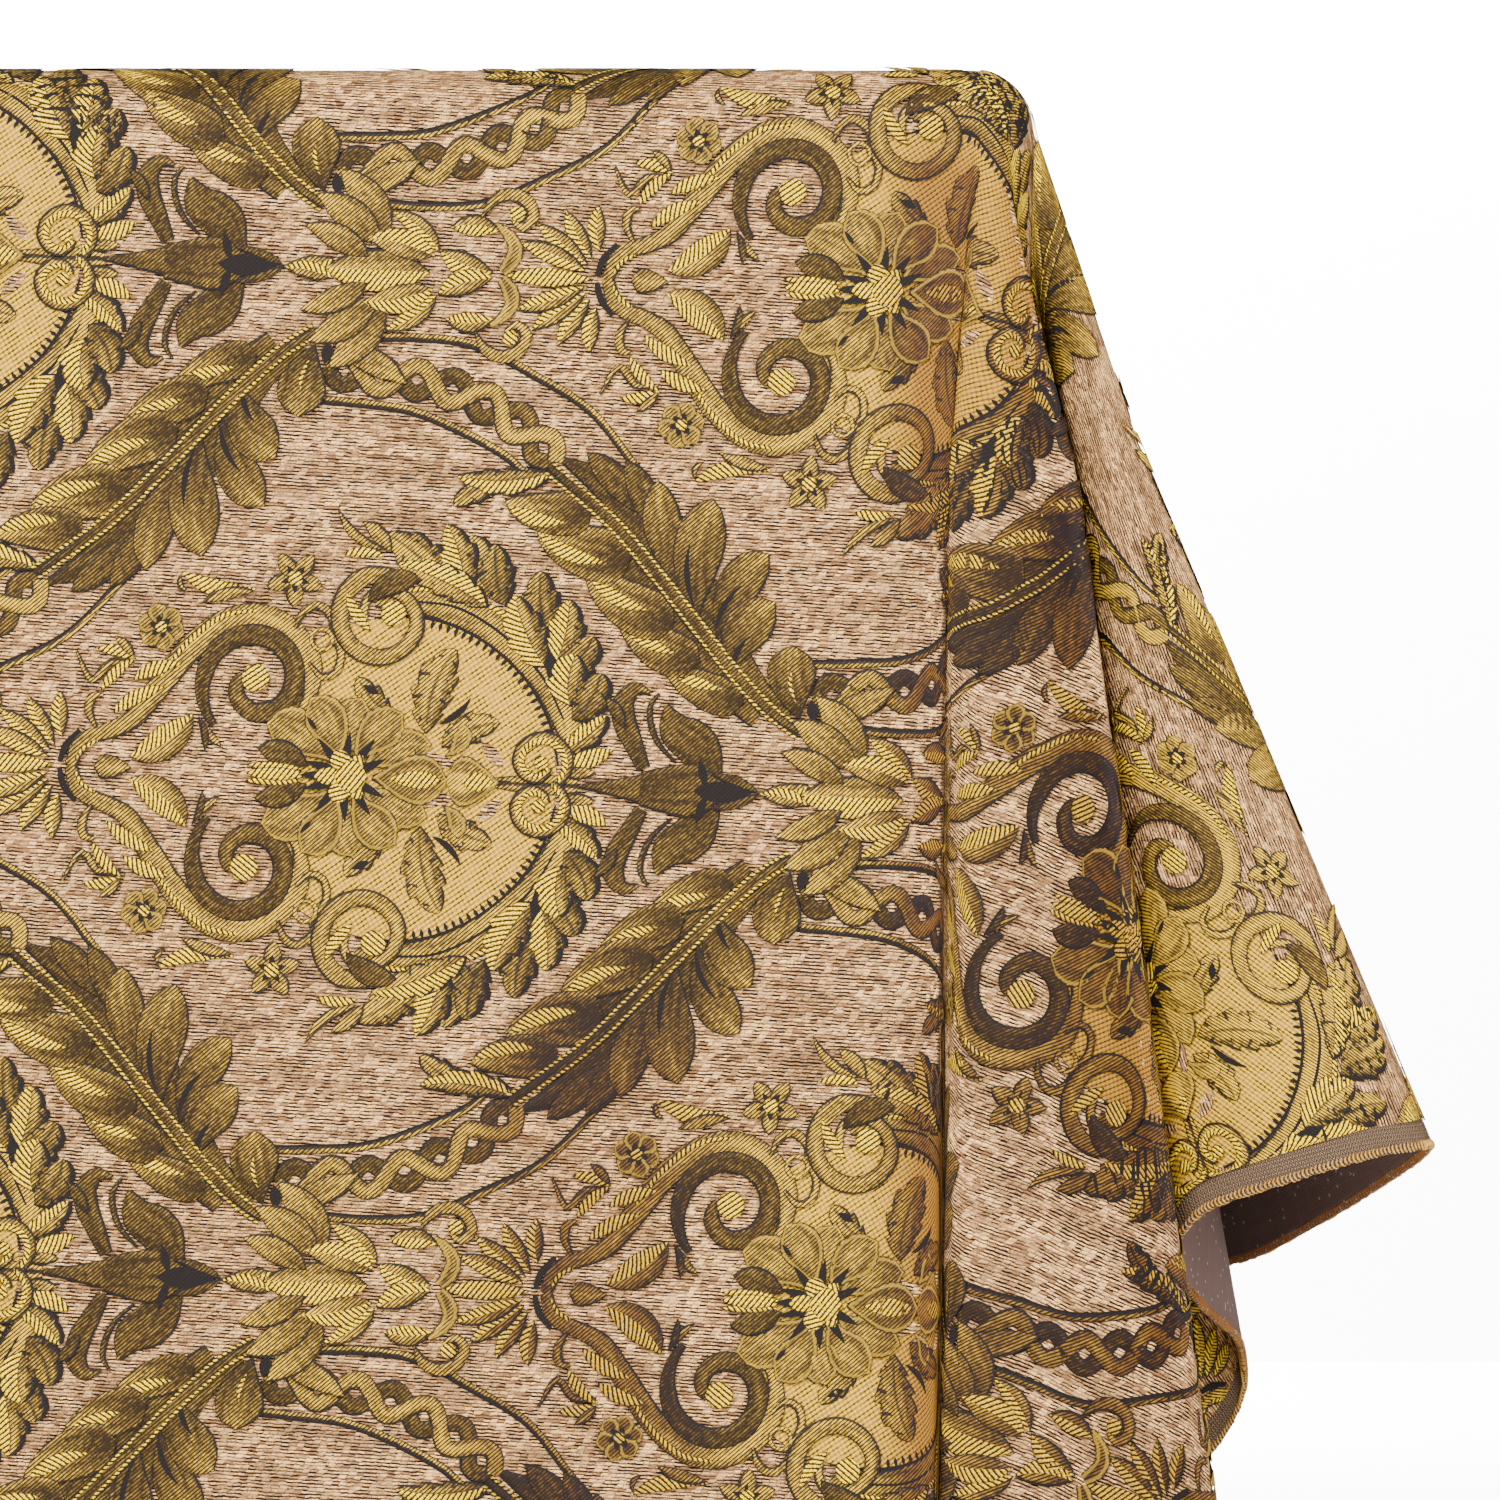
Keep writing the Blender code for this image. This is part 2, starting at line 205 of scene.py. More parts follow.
WREATH_BLADES = (
    ("leaf", (95, -192, 28, -244, 4, 30), (129, -192, 113, -246, 3, 26)),
    ("leaf_left", (109, -188, 88, -256, 4, 26)), ("dark_leaf", (151, -178, 138, -238, -5, 26)),
    ("leaf_right", (132, -176, 42, -214, 5, 24)), ("dark_leaf", (202, -138, 184, -214, -6, 28)),
    ("leaf_left", (194, -118, 160, -188, -5, 30)), ("dark", (204, -142, 204, -96, 0, 14)),
    ("leaf_left", (205, -124, 214, -186, 3, 26)), ("dark_leaf", (212, -112, 240, -150, 4, 26)),
    ("leaf_left", (221, -80, 224, -132, -5, 30)), ("dark_leaf", (224, -66, 250, -114, 6, 26)),
    ("leaf_left", (212, -34, 258, -72, 5, 18)), ("raised", (216, -22, 266, -38, 3, 14)),
    ("leaf", (216, -12, 252, -14, 0, 10)),
)
SCROLL_BLADES = (
    ("bronze", (13, -175, 66, -200, -8, 26)), ("raised", (-8, -184, 18, -147, 3, 13)),
    ("raised_right", (-154, -56, -214, -11, -8, 34)), ("satin", (-148, -54, -122, -24, 3, 10)),
    ("bronze", (-148, -54, -140, -20, -3, 9)),
    ("raised", (-184, -82, -234, -54, 4, 15), (-168, -106, -216, -88, 4, 15),
     (-216, -109, -247, -76, 3, 12), (-214, -109, -254, -118, 3, 12)),
    ("satin", (-216, -110, -237, -131, 2, 11)), ("raised", (-98, -184, -174, -198, -8, 17)),
    ("satin", (-100, -182, -152, -168, 3, 14), (-174, -196, -166, -178, 5, 7),
     (34, -226, 4, -256, 3, 17), (30, -228, -22, -268, -9, 11)),
    ("raised", (28, -222, -14, -222, 3, 11)),
)
FAN_BLADES = (
    ("raised_left", (-283, -28, -286, -74, -3, 19), (-290, -20, -319, -68, -2, 20),
     (-294, -14, -347, -54, 0, 20), (-296, -8, -363, -34, 2, 20), (-388, -3, -442, -22, -4, 26),
     (-384, -44, -433, -46, 4, 22)),
)
FAN_MIDDLE = (("raised", (-290, 0, -374, 0, 0, 19)), ("spear", (-250, 0, -212, 0, 0, 26)))
CLUSTER_BLADES = (
    ("leaflet", (476, -80, 546, -112, 4, 27)), ("paddle", (452, -76, 440, -150, -4, 50)),
    ("raised", (447, -92, 440, -124, -3, 5)), ("dark", (466, -74, 462, -96, 0, 12)),
    ("leaflet", (518, -35, 466, -100, 5, 36), (510, -27, 444, -74, 5, 34)),
    ("leaflet_left", (570, -22, 520, -60, 5, 21)), ("leaflet_right", (566, -16, 497, -32, 4, 29)),
    ("leaflet", (500, -13, 434, -43, 4, 27)), ("leaflet_left", (465, -10, 416, -1, -3, 19)),
)
CLUSTER_MIDDLE = (("raised_left", (562, 0, 456, 0, 0, 33)),)
BRANCH_BLADES = (
    ("bronze", (282, -274, 223, -334, 3, 30), (297, -253, 262, -328, 4, 30)),
    ("paddle", (333, -192, 296, -309, -7, 40), (342, -163, 352, -293, -8, 52),
     (364, -153, 411, -240, -10, 44), (377, -114, 420, -192, -10, 48)),
    ("dark", (339, -185, 331, -246, -5, 6), (362, -161, 385, -207, -5, 6),
     (381, -120, 396, -157, -4, 6)),
    ("leaf", (142, -301, 93, -275, 5, 24)), ("leaf_left", (189, -312, 95, -305, -7, 26)),
    ("frond", (395, -90, 312, -128, -6, 40)), ("raised", (373, -103, 314, -125, -4, 13)),
    ("frond", (349, -128, 265, -172, -7, 46)), ("raised", (323, -137, 267, -168, -5, 14)),
    ("frond", (321, -167, 230, -216, -8, 52)), ("raised", (293, -179, 233, -211, -6, 15)),
    ("frond", (274, -230, 177, -258, -8, 56)), ("raised", (247, -225, 180, -250, -6, 16)),
    ("frond", (233, -276, 144, -282, -7, 46)), ("raised", (206, -263, 147, -277, -5, 15)),
)
ANCHOR_BLADES = (
    ("bronze", (277, -60, 257, -90, 2, 14)), ("dark", (362, -4, 354, -32, 0, 9)),
    ("bronze", (366, -17, 416, 0, -3, 11)),
)
ANCHOR_MIDDLE = (("dark", (350, 0, 408, 0, 0, 22)),)

# Ribbons follow points, each with the ribbon's width there, in picks.
# look, then x, y, width
SCROLL_RIBBONS = (
    ("dark", (-284, -3, 5), (-279, -20, 7), (-266, -36, 4)),
    ("satin", (-273, 0, 13), (-266, -20, 16), (-252, -31, 17), (-235, -37, 18), (-214, -48, 20),
     (-200, -66, 22), (-186, -87, 25), (-160, -122, 26), (-130, -148, 26), (-98, -157, 26),
     (-66, -147, 25), (-43, -122, 23), (-37, -96, 19), (-43, -70, 12), (-64, -48, 3)),
    ("raised", (-189, -92, 3), (-163, -128, 6), (-131, -155, 6), (-98, -162, 4)),
    ("raised", (-268, -6, 3), (-261, -18, 5), (-248, -26, 4)),
    ("satin", (-249, -38, 4), (-258, -55, 10), (-255, -70, 10), (-245, -71, 5)),
    ("satin", (-216, -104, 4), (-240, -104, 8), (-257, -86, 8), (-274, -115, 3)),
    ("satin", (-57, -146, 4), (-50, -163, 9), (-36, -170, 10), (-22, -160, 10), (-17, -140, 9),
     (-10, -122, 9), (-14, -104, 9), (-28, -99, 8), (-41, -112, 4)),
    ("petal", (-379, -3, 12), (-370, -15, 17), (-367, -27, 16), (-374, -40, 13), (-387, -51, 5)),
    ("satin", (-402, -58, 3), (-391, -75, 12), (-375, -81, 14), (-358, -75, 14), (-351, -60, 13),
     (-361, -49, 11), (-372, -56, 5)),
)
AXIS_RIBBONS = (
    ("satin", (150, -3, 5), (180, -4, 10), (214, -5, 10), (236, -3, 6)),
    ("bronze", (299, -20, 14), (287, -45, 20), (277, -66, 24), (275, -86, 22), (286, -100, 15),
     (301, -96, 4)),
    ("bronze", (330, -28, 3), (312, -46, 6), (303, -66, 7), (302, -84, 6), (310, -96, 3)),
    ("bronze", (364, -14, 30), (352, -44, 44), (328, -62, 36), (318, -85, 5)),
    ("dark", (29, -1, 3), (46, -12, 4), (50, -36, 3)),
)
WREATH_RIBBONS = (
    ("satin", (21, -176, 12), (83, -176, 30), (140, -156, 36), (189, -116, 36), (218, -68, 30),
     (228, -22, 14)),
    ("raised", (30, -186, 3), (86, -190, 6), (148, -170, 6), (200, -127, 6), (230, -76, 5)),
    ("dark", (21, -160, 2), (80, -161, 3), (133, -140, 3), (176, -104, 3), (203, -60, 3),
     (213, -20, 2)),
    ("dark", (60, -178, 2), (104, -173, 3), (150, -148, 3), (192, -108, 3), (216, -66, 2)),
)
ANCHOR_RIBBONS = (
    ("bronze", (236, 0, 5), (264, 0, 15), (298, 0, 30)),
    ("bronze", (296, 0, 34), (320, 0, 46), (346, 0, 54), (366, 0, 38), (378, 0, 12)),
)
STEM_RIBBONS = (
    ("bronze", (239, -252, 26), (285, -204, 42), (334, -148, 40), (371, -106, 30), (408, -72, 16)),
    ("bronze", (200, -325, 8), (250, -298, 36), (300, -250, 48), (345, -196, 42), (375, -150, 32),
     (405, -110, 22), (440, -78, 10)),
)
STEM = (
    "bronze", (186, -317, 7), (252, -265, 14), (298, -217, 18), (347, -161, 18), (384, -119, 14),
    (420, -84, 11), (452, -62, 7),
)
# The bright lines on the stem: their distance from its middle and their width
STEM_LINE_OFF = 6
STEM_LINE_WIDTH = 3.5
# Chain borders, from the upper node of a medallion
CHAIN_PATH = (
    (-42, 96), (0, 104), (40, 105), (78, 112), (112, 124), (141, 139), (168, 158), (192, 182),
)
CHAIN_EDGES = (
    ((-60, 128), (-8, 131), (43, 136), (92, 153), (141, 177), (168, 200)),
    ((-12, 66), (48, 63), (107, 69), (166, 96), (224, 129), (271, 181), (300, 214)),
)
# look, distance down the cloth, width
CHAIN_EDGE_LINES = (("dark", 1.5, 8), ("satin", -0.5, 7))
CHAIN_EYES = 7
CHAIN_SWING = 14
CHAIN_STRAND = 18
CHAIN_SECTION = 4

# Spirals turn about a point: look, centre_x, centre_y, then angle, radius, width
SPIRALS = (
    ("bronze", -94, -95, ((128, 62, 8), (180, 51, 18), (225, 46, 21), (270, 43, 22), (315, 41, 22),
     (360, 39, 21), (405, 38, 21), (450, 34, 20), (500, 24, 17), (545, 12, 12))),
    ("satin", 28, -162, ((290, 42, 12), (240, 43, 20), (180, 42, 19), (90, 42, 18), (20, 38, 17),
     (-40, 30, 14), (-110, 24, 12), (-190, 16, 8))),
    ("raised_left", 196, -22, ((60, 27, 8), (0, 27, 13), (-90, 25, 14), (-180, 23, 13),
     (-250, 17, 11), (-330, 9, 7))),
)
# Round eyes: x, y, radius, and a ring with the radius of its hole
EYES = ((-94, -95, 14), (40, -165, 13), (-367, -62, 8), (196, -22, 7))
RING = (-30, -136, 13, 8)
DISC_POINTS = 19
DISC_TONE = 0.8
SPIRAL_STEPS = 8
# Small flowers: x, y, radius, petals, pointed
SMALL_FLOWERS = ((-191, -142, 24, 6, False), (-60, -196, 30, 5, True))
# Widths as shares: of a petal in the flower's radius, its vein in the petal, and the eye
POINTED_PETAL = 0.62
ROUND_PETAL = 0.95
PETAL_VEIN = 0.35
FLOWER_EYE = 0.26
# How much wider the wreath's leaves and the cluster's middle are drawn than charted
WREATH_SWELL = 1.35
CLUSTER_SWELL = 1.3
# The round field: its centre on the axis, its radius, its left end and its grid
FIELD_CENTRE = 52
FIELD_RADIUS = 162
FIELD_LEFT = -60
FIELD_GRID = (31, 23)
# The ticks inside the field's rim: the angles of the first and last, and how many
WREATH_ARC = (-80, -17)
WREATH_TICKS = 22
TICK_LENGTH = 9
TICK_WIDTH = 4

# How high the layers of the figure float over the ground, from one blade to the next
LAYER_STEP = 0.0000025
GROUP_LIFT = 0.00005
# A strip's cross-sections, its widest panel and its least half width, in picks
SECTION = 8.8
PANEL = 16.0
LEAST_HALF = 0.4
# How the tone falls from a strip's middle to its edges
TONE_FALL = 1.5
# A lobed leaf's lobes: their length in picks, their sections and how deep they are cut
LOBE = 21.0
LOBE_SECTIONS = (0.0, 0.3, 0.65, 0.93)
LOBE_DEPTH = 0.30
LOBE_WIDTH = 19.0
# The slate under a lobed leaf: how far it is shifted, and how much wider it is
LEAF_SHADOW = (2.8, 0.9)
SHADOW_SPREAD = 0.5

LAYERS = ("satin", "leaf", "petal", "raised", "field", "outline", "chenille")

# Looks of a blade: layer, tone at root, at tip, at the edges, belly, fullness, raised side
LOOKS = {
    "satin": ("satin", 0.45, 0.75, 0.35, 1.0, 0.75, 0),
    "leaflet": ("satin", 0.05, 0.75, 0.40, 0.9, 0.80, 0),
    "leaflet_left": ("satin", 0.15, 0.80, 0.45, 0.9, 0.80, -1),
    "leaflet_right": ("satin", 0.15, 0.80, 0.45, 0.9, 0.80, 1),
    "frond": ("satin", -0.30, 0.80, 0.30, 0.62, 0.55, 0),
    "paddle": ("satin", -0.30, 0.55, 0.15, 1.55, 0.62, 0),
    "ground": ("chenille", 0.0, 0.0, 0.0, 1.0, 0.60, 0),
    "petal": ("petal", 0.30, 0.70, 0.25, 1.5, 0.65, 0),
    "heart": ("petal", 0.60, 0.90, 0.20, 1.7, 0.55, 0),
    "spear": ("satin", 0.50, 0.80, 0.20, 0.6, 0.80, 0),
    "bronze": ("satin", -0.10, 0.18, 0.05, 1.1, 0.70, 0),
    "leaf": ("leaf", 0.35, 0.85, 0.30, 1.0, 0.60, 0),
    "dark_leaf": ("leaf", 0.10, 0.48, 0.22, 1.1, 0.60, 0),
    "bloom": ("leaf", 0.40, 0.78, 0.35, 1.1, 0.60, 0),
    "leaf_left": ("leaf", 0.30, 0.80, 0.30, 1.0, 0.65, -1),
    "leaf_right": ("leaf", 0.30, 0.80, 0.30, 1.0, 0.65, 1),
    "raised": ("raised", 0.5, 1.0, 0.0, 1.1, 0.70, 0),
    "raised_left": ("satin", 0.30, 0.80, 0.20, 1.0, 0.75, -1),
    "raised_right": ("satin", 0.30, 0.80, 0.20, 1.0, 0.75, 1),
    "dark": ("outline", 0.0, 0.0, 0.0, 0.9, 0.90, 0),
}

# The finer mesh of the visible sheet
SHEET_THICKNESS = 0.0018
FRONT_COLUMNS = 104
TOP_ROWS = 46
RIGHT_FAN_STEPS = 136
LEFT_FAN_STEPS = 72
# Angles tried through a corner, and how much a degree counts against a millimetre moved
FAN_SAMPLES = 401
DEGREE_WEIGHT = 2.0
# The rows of a drop, as shares of its length: closer together round the bend
BEND_SHARE = 0.07
BEND_ROWS = 9
DROP_ROWS = 88
DROP_SHARES = tuple(BEND_SHARE * i / BEND_ROWS for i in range(BEND_ROWS)) + tuple(
    BEND_SHARE + (1 - BEND_SHARE) * i / DROP_ROWS for i in range(DROP_ROWS + 1)
)
FABRIC_MAP = "fabric"
# The figure stops this far from the hem and from the back edge
HEM_MARGIN = 0.001

# What each point of a strip carries: its tone, and in mm its distance from the strip's
# edge, its distance from the middle line, and how far along the strip it lies
MARKS = ("tone", "inset", "off", "along")

# Painted shade on the figure where the right corner's folds turn it from the light: mm left
# of the right corner, its angles round the corner, and the metres down the cloth over which
# that begins. The side past it gets painted light.
SHADE_INWARD = 36.0
SHADE_ANGLE = 27.5
SHADE_START = (0.02, 0.05)
SIDE_PAINTED_LIGHT = 0.55
# Painted shade along a shallow ripple low on the front: u, half width, first and full v
# in metres, and its strength
RIPPLE_SHADE = (-0.131, 0.042, 0.295, 0.355, 0.75)

# The weave, in mm
CHENILLE_ROW = 1.22
CHENILLE_STITCH = 2.6
TWILL_PITCH = 1.05
CORD_PITCH = 1.9
FIELD_CORD = 1.5
# The slants of the twill, the raised cords, and the field's cords and knots, as shares
# across and down
TWILL_SLANT = (0.68, 0.73)
CORD_SLANT = 0.75
FIELD_SLANT = (0.62, 0.80)
KNOT_SLANT = (0.9, -0.45)
SELVEDGE_CELL = 0.8
REVERSE_CELL = (0.9, 0.7)
# Its relief, in metres
CHENILLE_RELIEF = 0.0004
SATIN_RELIEF = 0.00022
CORD_RELIEF = 0.0005
FIELD_RELIEF = 0.0004
FLAT_RELIEF = 0.0002
OUTLINE_RELIEF = 0.00015
THREAD_RELIEF = 0.00012
PAINT_RELIEF = 0.00008
PAPER_RELIEF = 0.00002

SELVEDGE_BAND = 0.0095
OVERLOCK_WIDTH = 0.0026
# The overlock thread's points in a turn and round its section, how far it stands off, how
# unevenly it reaches in (mm), its lean in turns, and the spread of its two colours
TURN_POINTS = 10
THREAD_SIDES = 5
THREAD_STANDOFF = 0.00035
THREAD_WOBBLE = (-0.25, 0.35)
THREAD_LEAN = 0.55
THREAD_TONE = 0.75
THREAD_TONE_SPREAD = (-0.25, 0.25)

# The figure's pieces by the middle of each repeat, the first that fits
CORNER_REACH = 0.02
FIGURE_PIECES = (
    ("figure_right", lambda u, v: u > -CORNER_REACH),
    ("figure_left", lambda u, v: u < MIRROR_U + CORNER_REACH),
    ("figure_front", lambda u, v: v > 0.0),
    ("figure_top", lambda u, v: True),
)

# name, what it colours, then red, green and blue as 0 to 255 display values
COLOURS = (
    ("chenille_light", "The pile's lit tips", 255, 199, 131),
    ("chenille_streak", "The pile's darker stitches", 128, 90, 59),
    ("chenille_rose", "Rose-brown streaks along the weft", 72, 48, 35),
    ("chenille_gap", "Between the stitches", 27, 18, 13),
    ("selvedge_light", "The basket weave's light threads", 131, 106, 82),
    ("selvedge_dark", "The basket weave's dark threads", 57, 45, 34),
    ("satin_dark", "The figure's darkest satin", 39, 28, 14),
    ("satin_gold", "The figure's satin", 94, 72, 28),
    ("satin_light", "The satin where it is palest", 203, 161, 38),
    # Painted shade where the figure turns from the light: painted orange-brown glints on the
    # satin, the field's and cords' lighter shade, and plum-brown shade, also used in the ground's
    # crease
    ("dull_satin", "Orange-brown glints where the satin turns away", 97, 60, 19),
    ("dull_field", "The field and the cords where they turn away", 131, 87, 27),
    ("dull_shade", "Plum-brown where the satin turns away", 30, 22, 22),
    ("raised_gold", "The cords of the brightest gold", 199, 157, 25),
    ("raised_gap", "Between the bright cords", 51, 36, 12),
    # Painted highlight on the crowns of the bright cords
    ("raised_light", "Flecks in the brightest gold", 250, 210, 43),
    ("field_light", "The pale field's cords", 200, 159, 32),
    ("field_gap", "Between the field's cords", 60, 43, 14),
    ("field_pink", "Pinkish threads in the field", 175, 124, 62),
    ("slate", "Outlines and veins", 25, 22, 23),
    ("reverse_dark", "The cloth's back", 74, 57, 53),
    ("reverse_light", "Raised threads of the back", 116, 92, 83),
    ("thread_yellow", "The edge thread", 195, 146, 57),
    ("thread_brown", "The edge thread's other strand", 140, 85, 30),
    ("thread_white", "Flecks in the edge thread", 156, 150, 139),
    ("plinth_paint", "The plinth's body", 182, 180, 175),
    ("foot_paint", "The plinth's recessed foot", 52, 49, 47),
)

STAGE_PAPER = (236, 236, 238)
STAGE_SHEETS = (
    ("floor", ((-4, -5, 0), (4, -5, 0), (4, 6, 0), (-4, 6, 0))),
    ("backdrop", ((-2.2, 6, 0), (2.2, 6, 0), (2.2, 6, 2.4), (-2.2, 6, 2.4))),
)
# name, place, target, width, height, power
LIGHTS = (
    ("key", (-0.9, -2.6, 2.3), (0.1, -0.1, 0.5), 1.6, 1.2, 264.0),
    ("fill", (1.9, -2.2, 1.0), (0.2, -0.1, 0.5), 1.4, 1.4, 88.0),
    ("wall", (0.0, 4.6, 2.8), (0.0, 6.0, 0.9), 2.8, 0.8, 1700.0),
)
WORLD_STRENGTH = 0.6
CAMERA_PLACE = (0.2275, -4.161, 0.5327)
CAMERA_LENS = 280
CAMERA_SENSOR = 36


def linear(display):
    """A colour given as 0 to 255 display values, in the renderer's linear values."""
    return tuple(((value / 255 + 0.055) / 1.055) ** 2.4 for value in display)


def smooth(value):
    """Zero to one with level ends, and clamped outside them."""
    value = min(max(value, 0.0), 1.0)
    return value * value * (3 - 2 * value)


def ramp(value, low, high):
    """Zero below low, one above high, and straight between them."""
    return np.clip((value - low) / (high - low), 0, 1)


def unit(vectors):
    """The vectors at length one."""
    return vectors / np.maximum(np.linalg.norm(vectors, axis=1), 1e-9)[:, None]


def square_to(line):
    """The way to the left of a flat line, at each of its points."""
    heading = unit(np.gradient(line, axis=0))
    return np.stack((-heading[:, 1], heading[:, 0]), axis=1)


def walked_along(line):
    """How far along a line each of its points lies."""
    steps = np.linalg.norm(np.diff(line, axis=0), axis=1)
    return np.concatenate(((0,), np.cumsum(steps)))


def read_row(table, key):
    """The table's columns at a key between its rows, on a curve that doesn't overshoot them."""
    rows = np.array(table)
    keys, values = rows[:, 0], rows[:, 1:]
    rises = np.diff(values, axis=0) / np.diff(keys)[:, None]
    before, after = rises[:-1], rises[1:]
    one_way = before * after > 0
    bends = 2 * before * after / np.where(one_way, before + after, 1) * one_way
    slopes = np.vstack((rises[:1], bends, rises[-1:]))
    i = min(max(int(np.searchsorted(keys, key, side="right")) - 1, 0), len(keys) - 2)
    span = keys[i + 1] - keys[i]
    t = min(max((key - keys[i]) / span, 0.0), 1.0)
    row = (
        values[i] * (2 * t**3 - 3 * t**2 + 1)
        + slopes[i] * span * (t**3 - 2 * t**2 + t)
        + values[i + 1] * (3 * t**2 - 2 * t**3)
        + slopes[i + 1] * span * (t**3 - t**2)
    )
    return row.tolist()


def plan_offset(start, upper, lower, onset, along):
    """Where a line of cloth lies, seen from above, this far below the top."""
    if along <= BENT_LENGTH:
        share = math.sin(along / BEND)
        return start[0] * share, start[1] * share
    if along <= UPPER_SECTION:
        share = (along - BENT_LENGTH) / (UPPER_SECTION - BENT_LENGTH)
        share = share**onset
        return tuple(a + (b - a) * share for a, b in zip(start, upper))
    share = (along - UPPER_SECTION) / (LOWER_SECTION - UPPER_SECTION)
    return tuple(a + (b - a) * share for a, b in zip(upper, lower))


def hang(origin, start, upper, lower, length, onset=1.0):
    """Points down one line of cloth: the height follows from the length of the cloth."""
    points = []
    height = 0.0
    walked = 0.0
    last = (0.0, 0.0)
    for share in DROP_SHARES:
        target = share * length
        while walked < target - 1e-9:
            step = min(WALK_STEP, target - walked)
            walked += step
            here = plan_offset(start, upper, lower, onset, walked)
            across = math.hypot(here[0] - last[0], here[1] - last[1])
            last = here
            height -= math.sqrt(max(step * step - across * across, (0.1 * step) ** 2))
        points.append((origin[0] + last[0], origin[1] + last[1], origin[2] + height))
    return points


def fold_onset(angle):
    """How slowly a line leaves the bend: the tucked folds form only below it."""
    off_centre = (angle - TUCK_ANGLE) / TUCK_SPREAD
    return 1.0 + TUCK_DELAY * max(1 - off_centre**2, 0.0) ** 2


def millimetres(right, forward, side):
    """A pair of table values as an offset in the frame, for the right or left side."""
    return side * right / 1000, -forward / 1000


def edge_height(x, y):
    """The middle of the cloth over the plinth's top, which lifts towards the edges."""
    inset = min(CORNER_X - abs(x), y - FRONT_Y, BACK_Y - y + EDGE_LIFT_WIDTH)
    lift = (EDGE_CLEARANCE - SEAT_GAP) * smooth(1 - inset / EDGE_LIFT_WIDTH)
    return PLINTH_TOP + SEAT_GAP + SEATED_THICKNESS / 2 + lift


def front_line(x):
    """One line of the front drop, from the top's front edge to the front hem."""
    shift_up, lift_up, shift_low, lift_low = read_row(RIGHT_RIDGE, (CORNER_X - x) * 1000)
    bend = BEND * 1000
    upper = millimetres(-shift_up, bend + lift_up, 1)
    lower = millimetres(-shift_low, bend + lift_low, 1)
    origin = (x, FRONT_Y, edge_height(x, FRONT_Y))
    return hang(origin, (0.0, -BEND), upper, lower, FRONT_OVERHANG)


def reach_at(turn):
    """How far the cloth reaches from its corner to the hem or selvedge, at this turn."""
    to_hem = FRONT_OVERHANG / np.maximum(np.cos(turn), 1e-6)
    to_selvedge = SIDE_OVERHANG / np.maximum(np.sin(turn), 1e-6)
    return np.minimum(to_hem, to_selvedge)


def corner_line(table, side, angle):
    """One line of a corner, from the corner of the top to the hem or the selvedge."""
    *offsets, stretch = read_row(table, angle)
    turn = math.radians(angle)
    start = (side * BEND * math.sin(turn), -BEND * math.cos(turn))
    upper, lower = millimetres(*offsets[:2], side), millimetres(*offsets[2:], side)
    origin = (side * CORNER_X, FRONT_Y, edge_height(CORNER_X, FRONT_Y))
    length = float(reach_at(turn)) * stretch
    return hang(origin, start, upper, lower, length, fold_onset(angle))


def side_line(table, side, y):
    """One line of a side drop, from the plinth's side edge to the selvedge."""
    behind = y - FRONT_Y
    *offsets, stretch = read_row(table, behind * 1000)
    upper, lower = millimetres(*offsets[:2], side), millimetres(*offsets[2:], side)
    origin = (side * CORNER_X, y, edge_height(CORNER_X, y))
    length = (SIDE_OVERHANG + SELVEDGE_SLOPE * behind) * stretch
    return hang(origin, (side * BEND, 0.0), upper, lower, length)


def fan_angles(table, steps):
    """Angles through a corner, shared out so that folded parts get more of them."""
    fine = np.linspace(0, table[-1][0], FAN_SAMPLES)
    rows = np.array([read_row(table, angle) for angle in fine])
    moved = np.hypot(np.diff(rows[:, 2]), np.diff(rows[:, 3]))
    reach = np.concatenate(((0,), np.cumsum(moved + DEGREE_WEIGHT * np.diff(fine))))
    angles = np.interp(np.linspace(0, reach[-1], steps + 1), reach, fine)
    cloth_corner = math.degrees(math.atan2(SIDE_OVERHANG, FRONT_OVERHANG))
    angles[np.abs(angles - cloth_corner).argmin()] = cloth_corner
    return angles


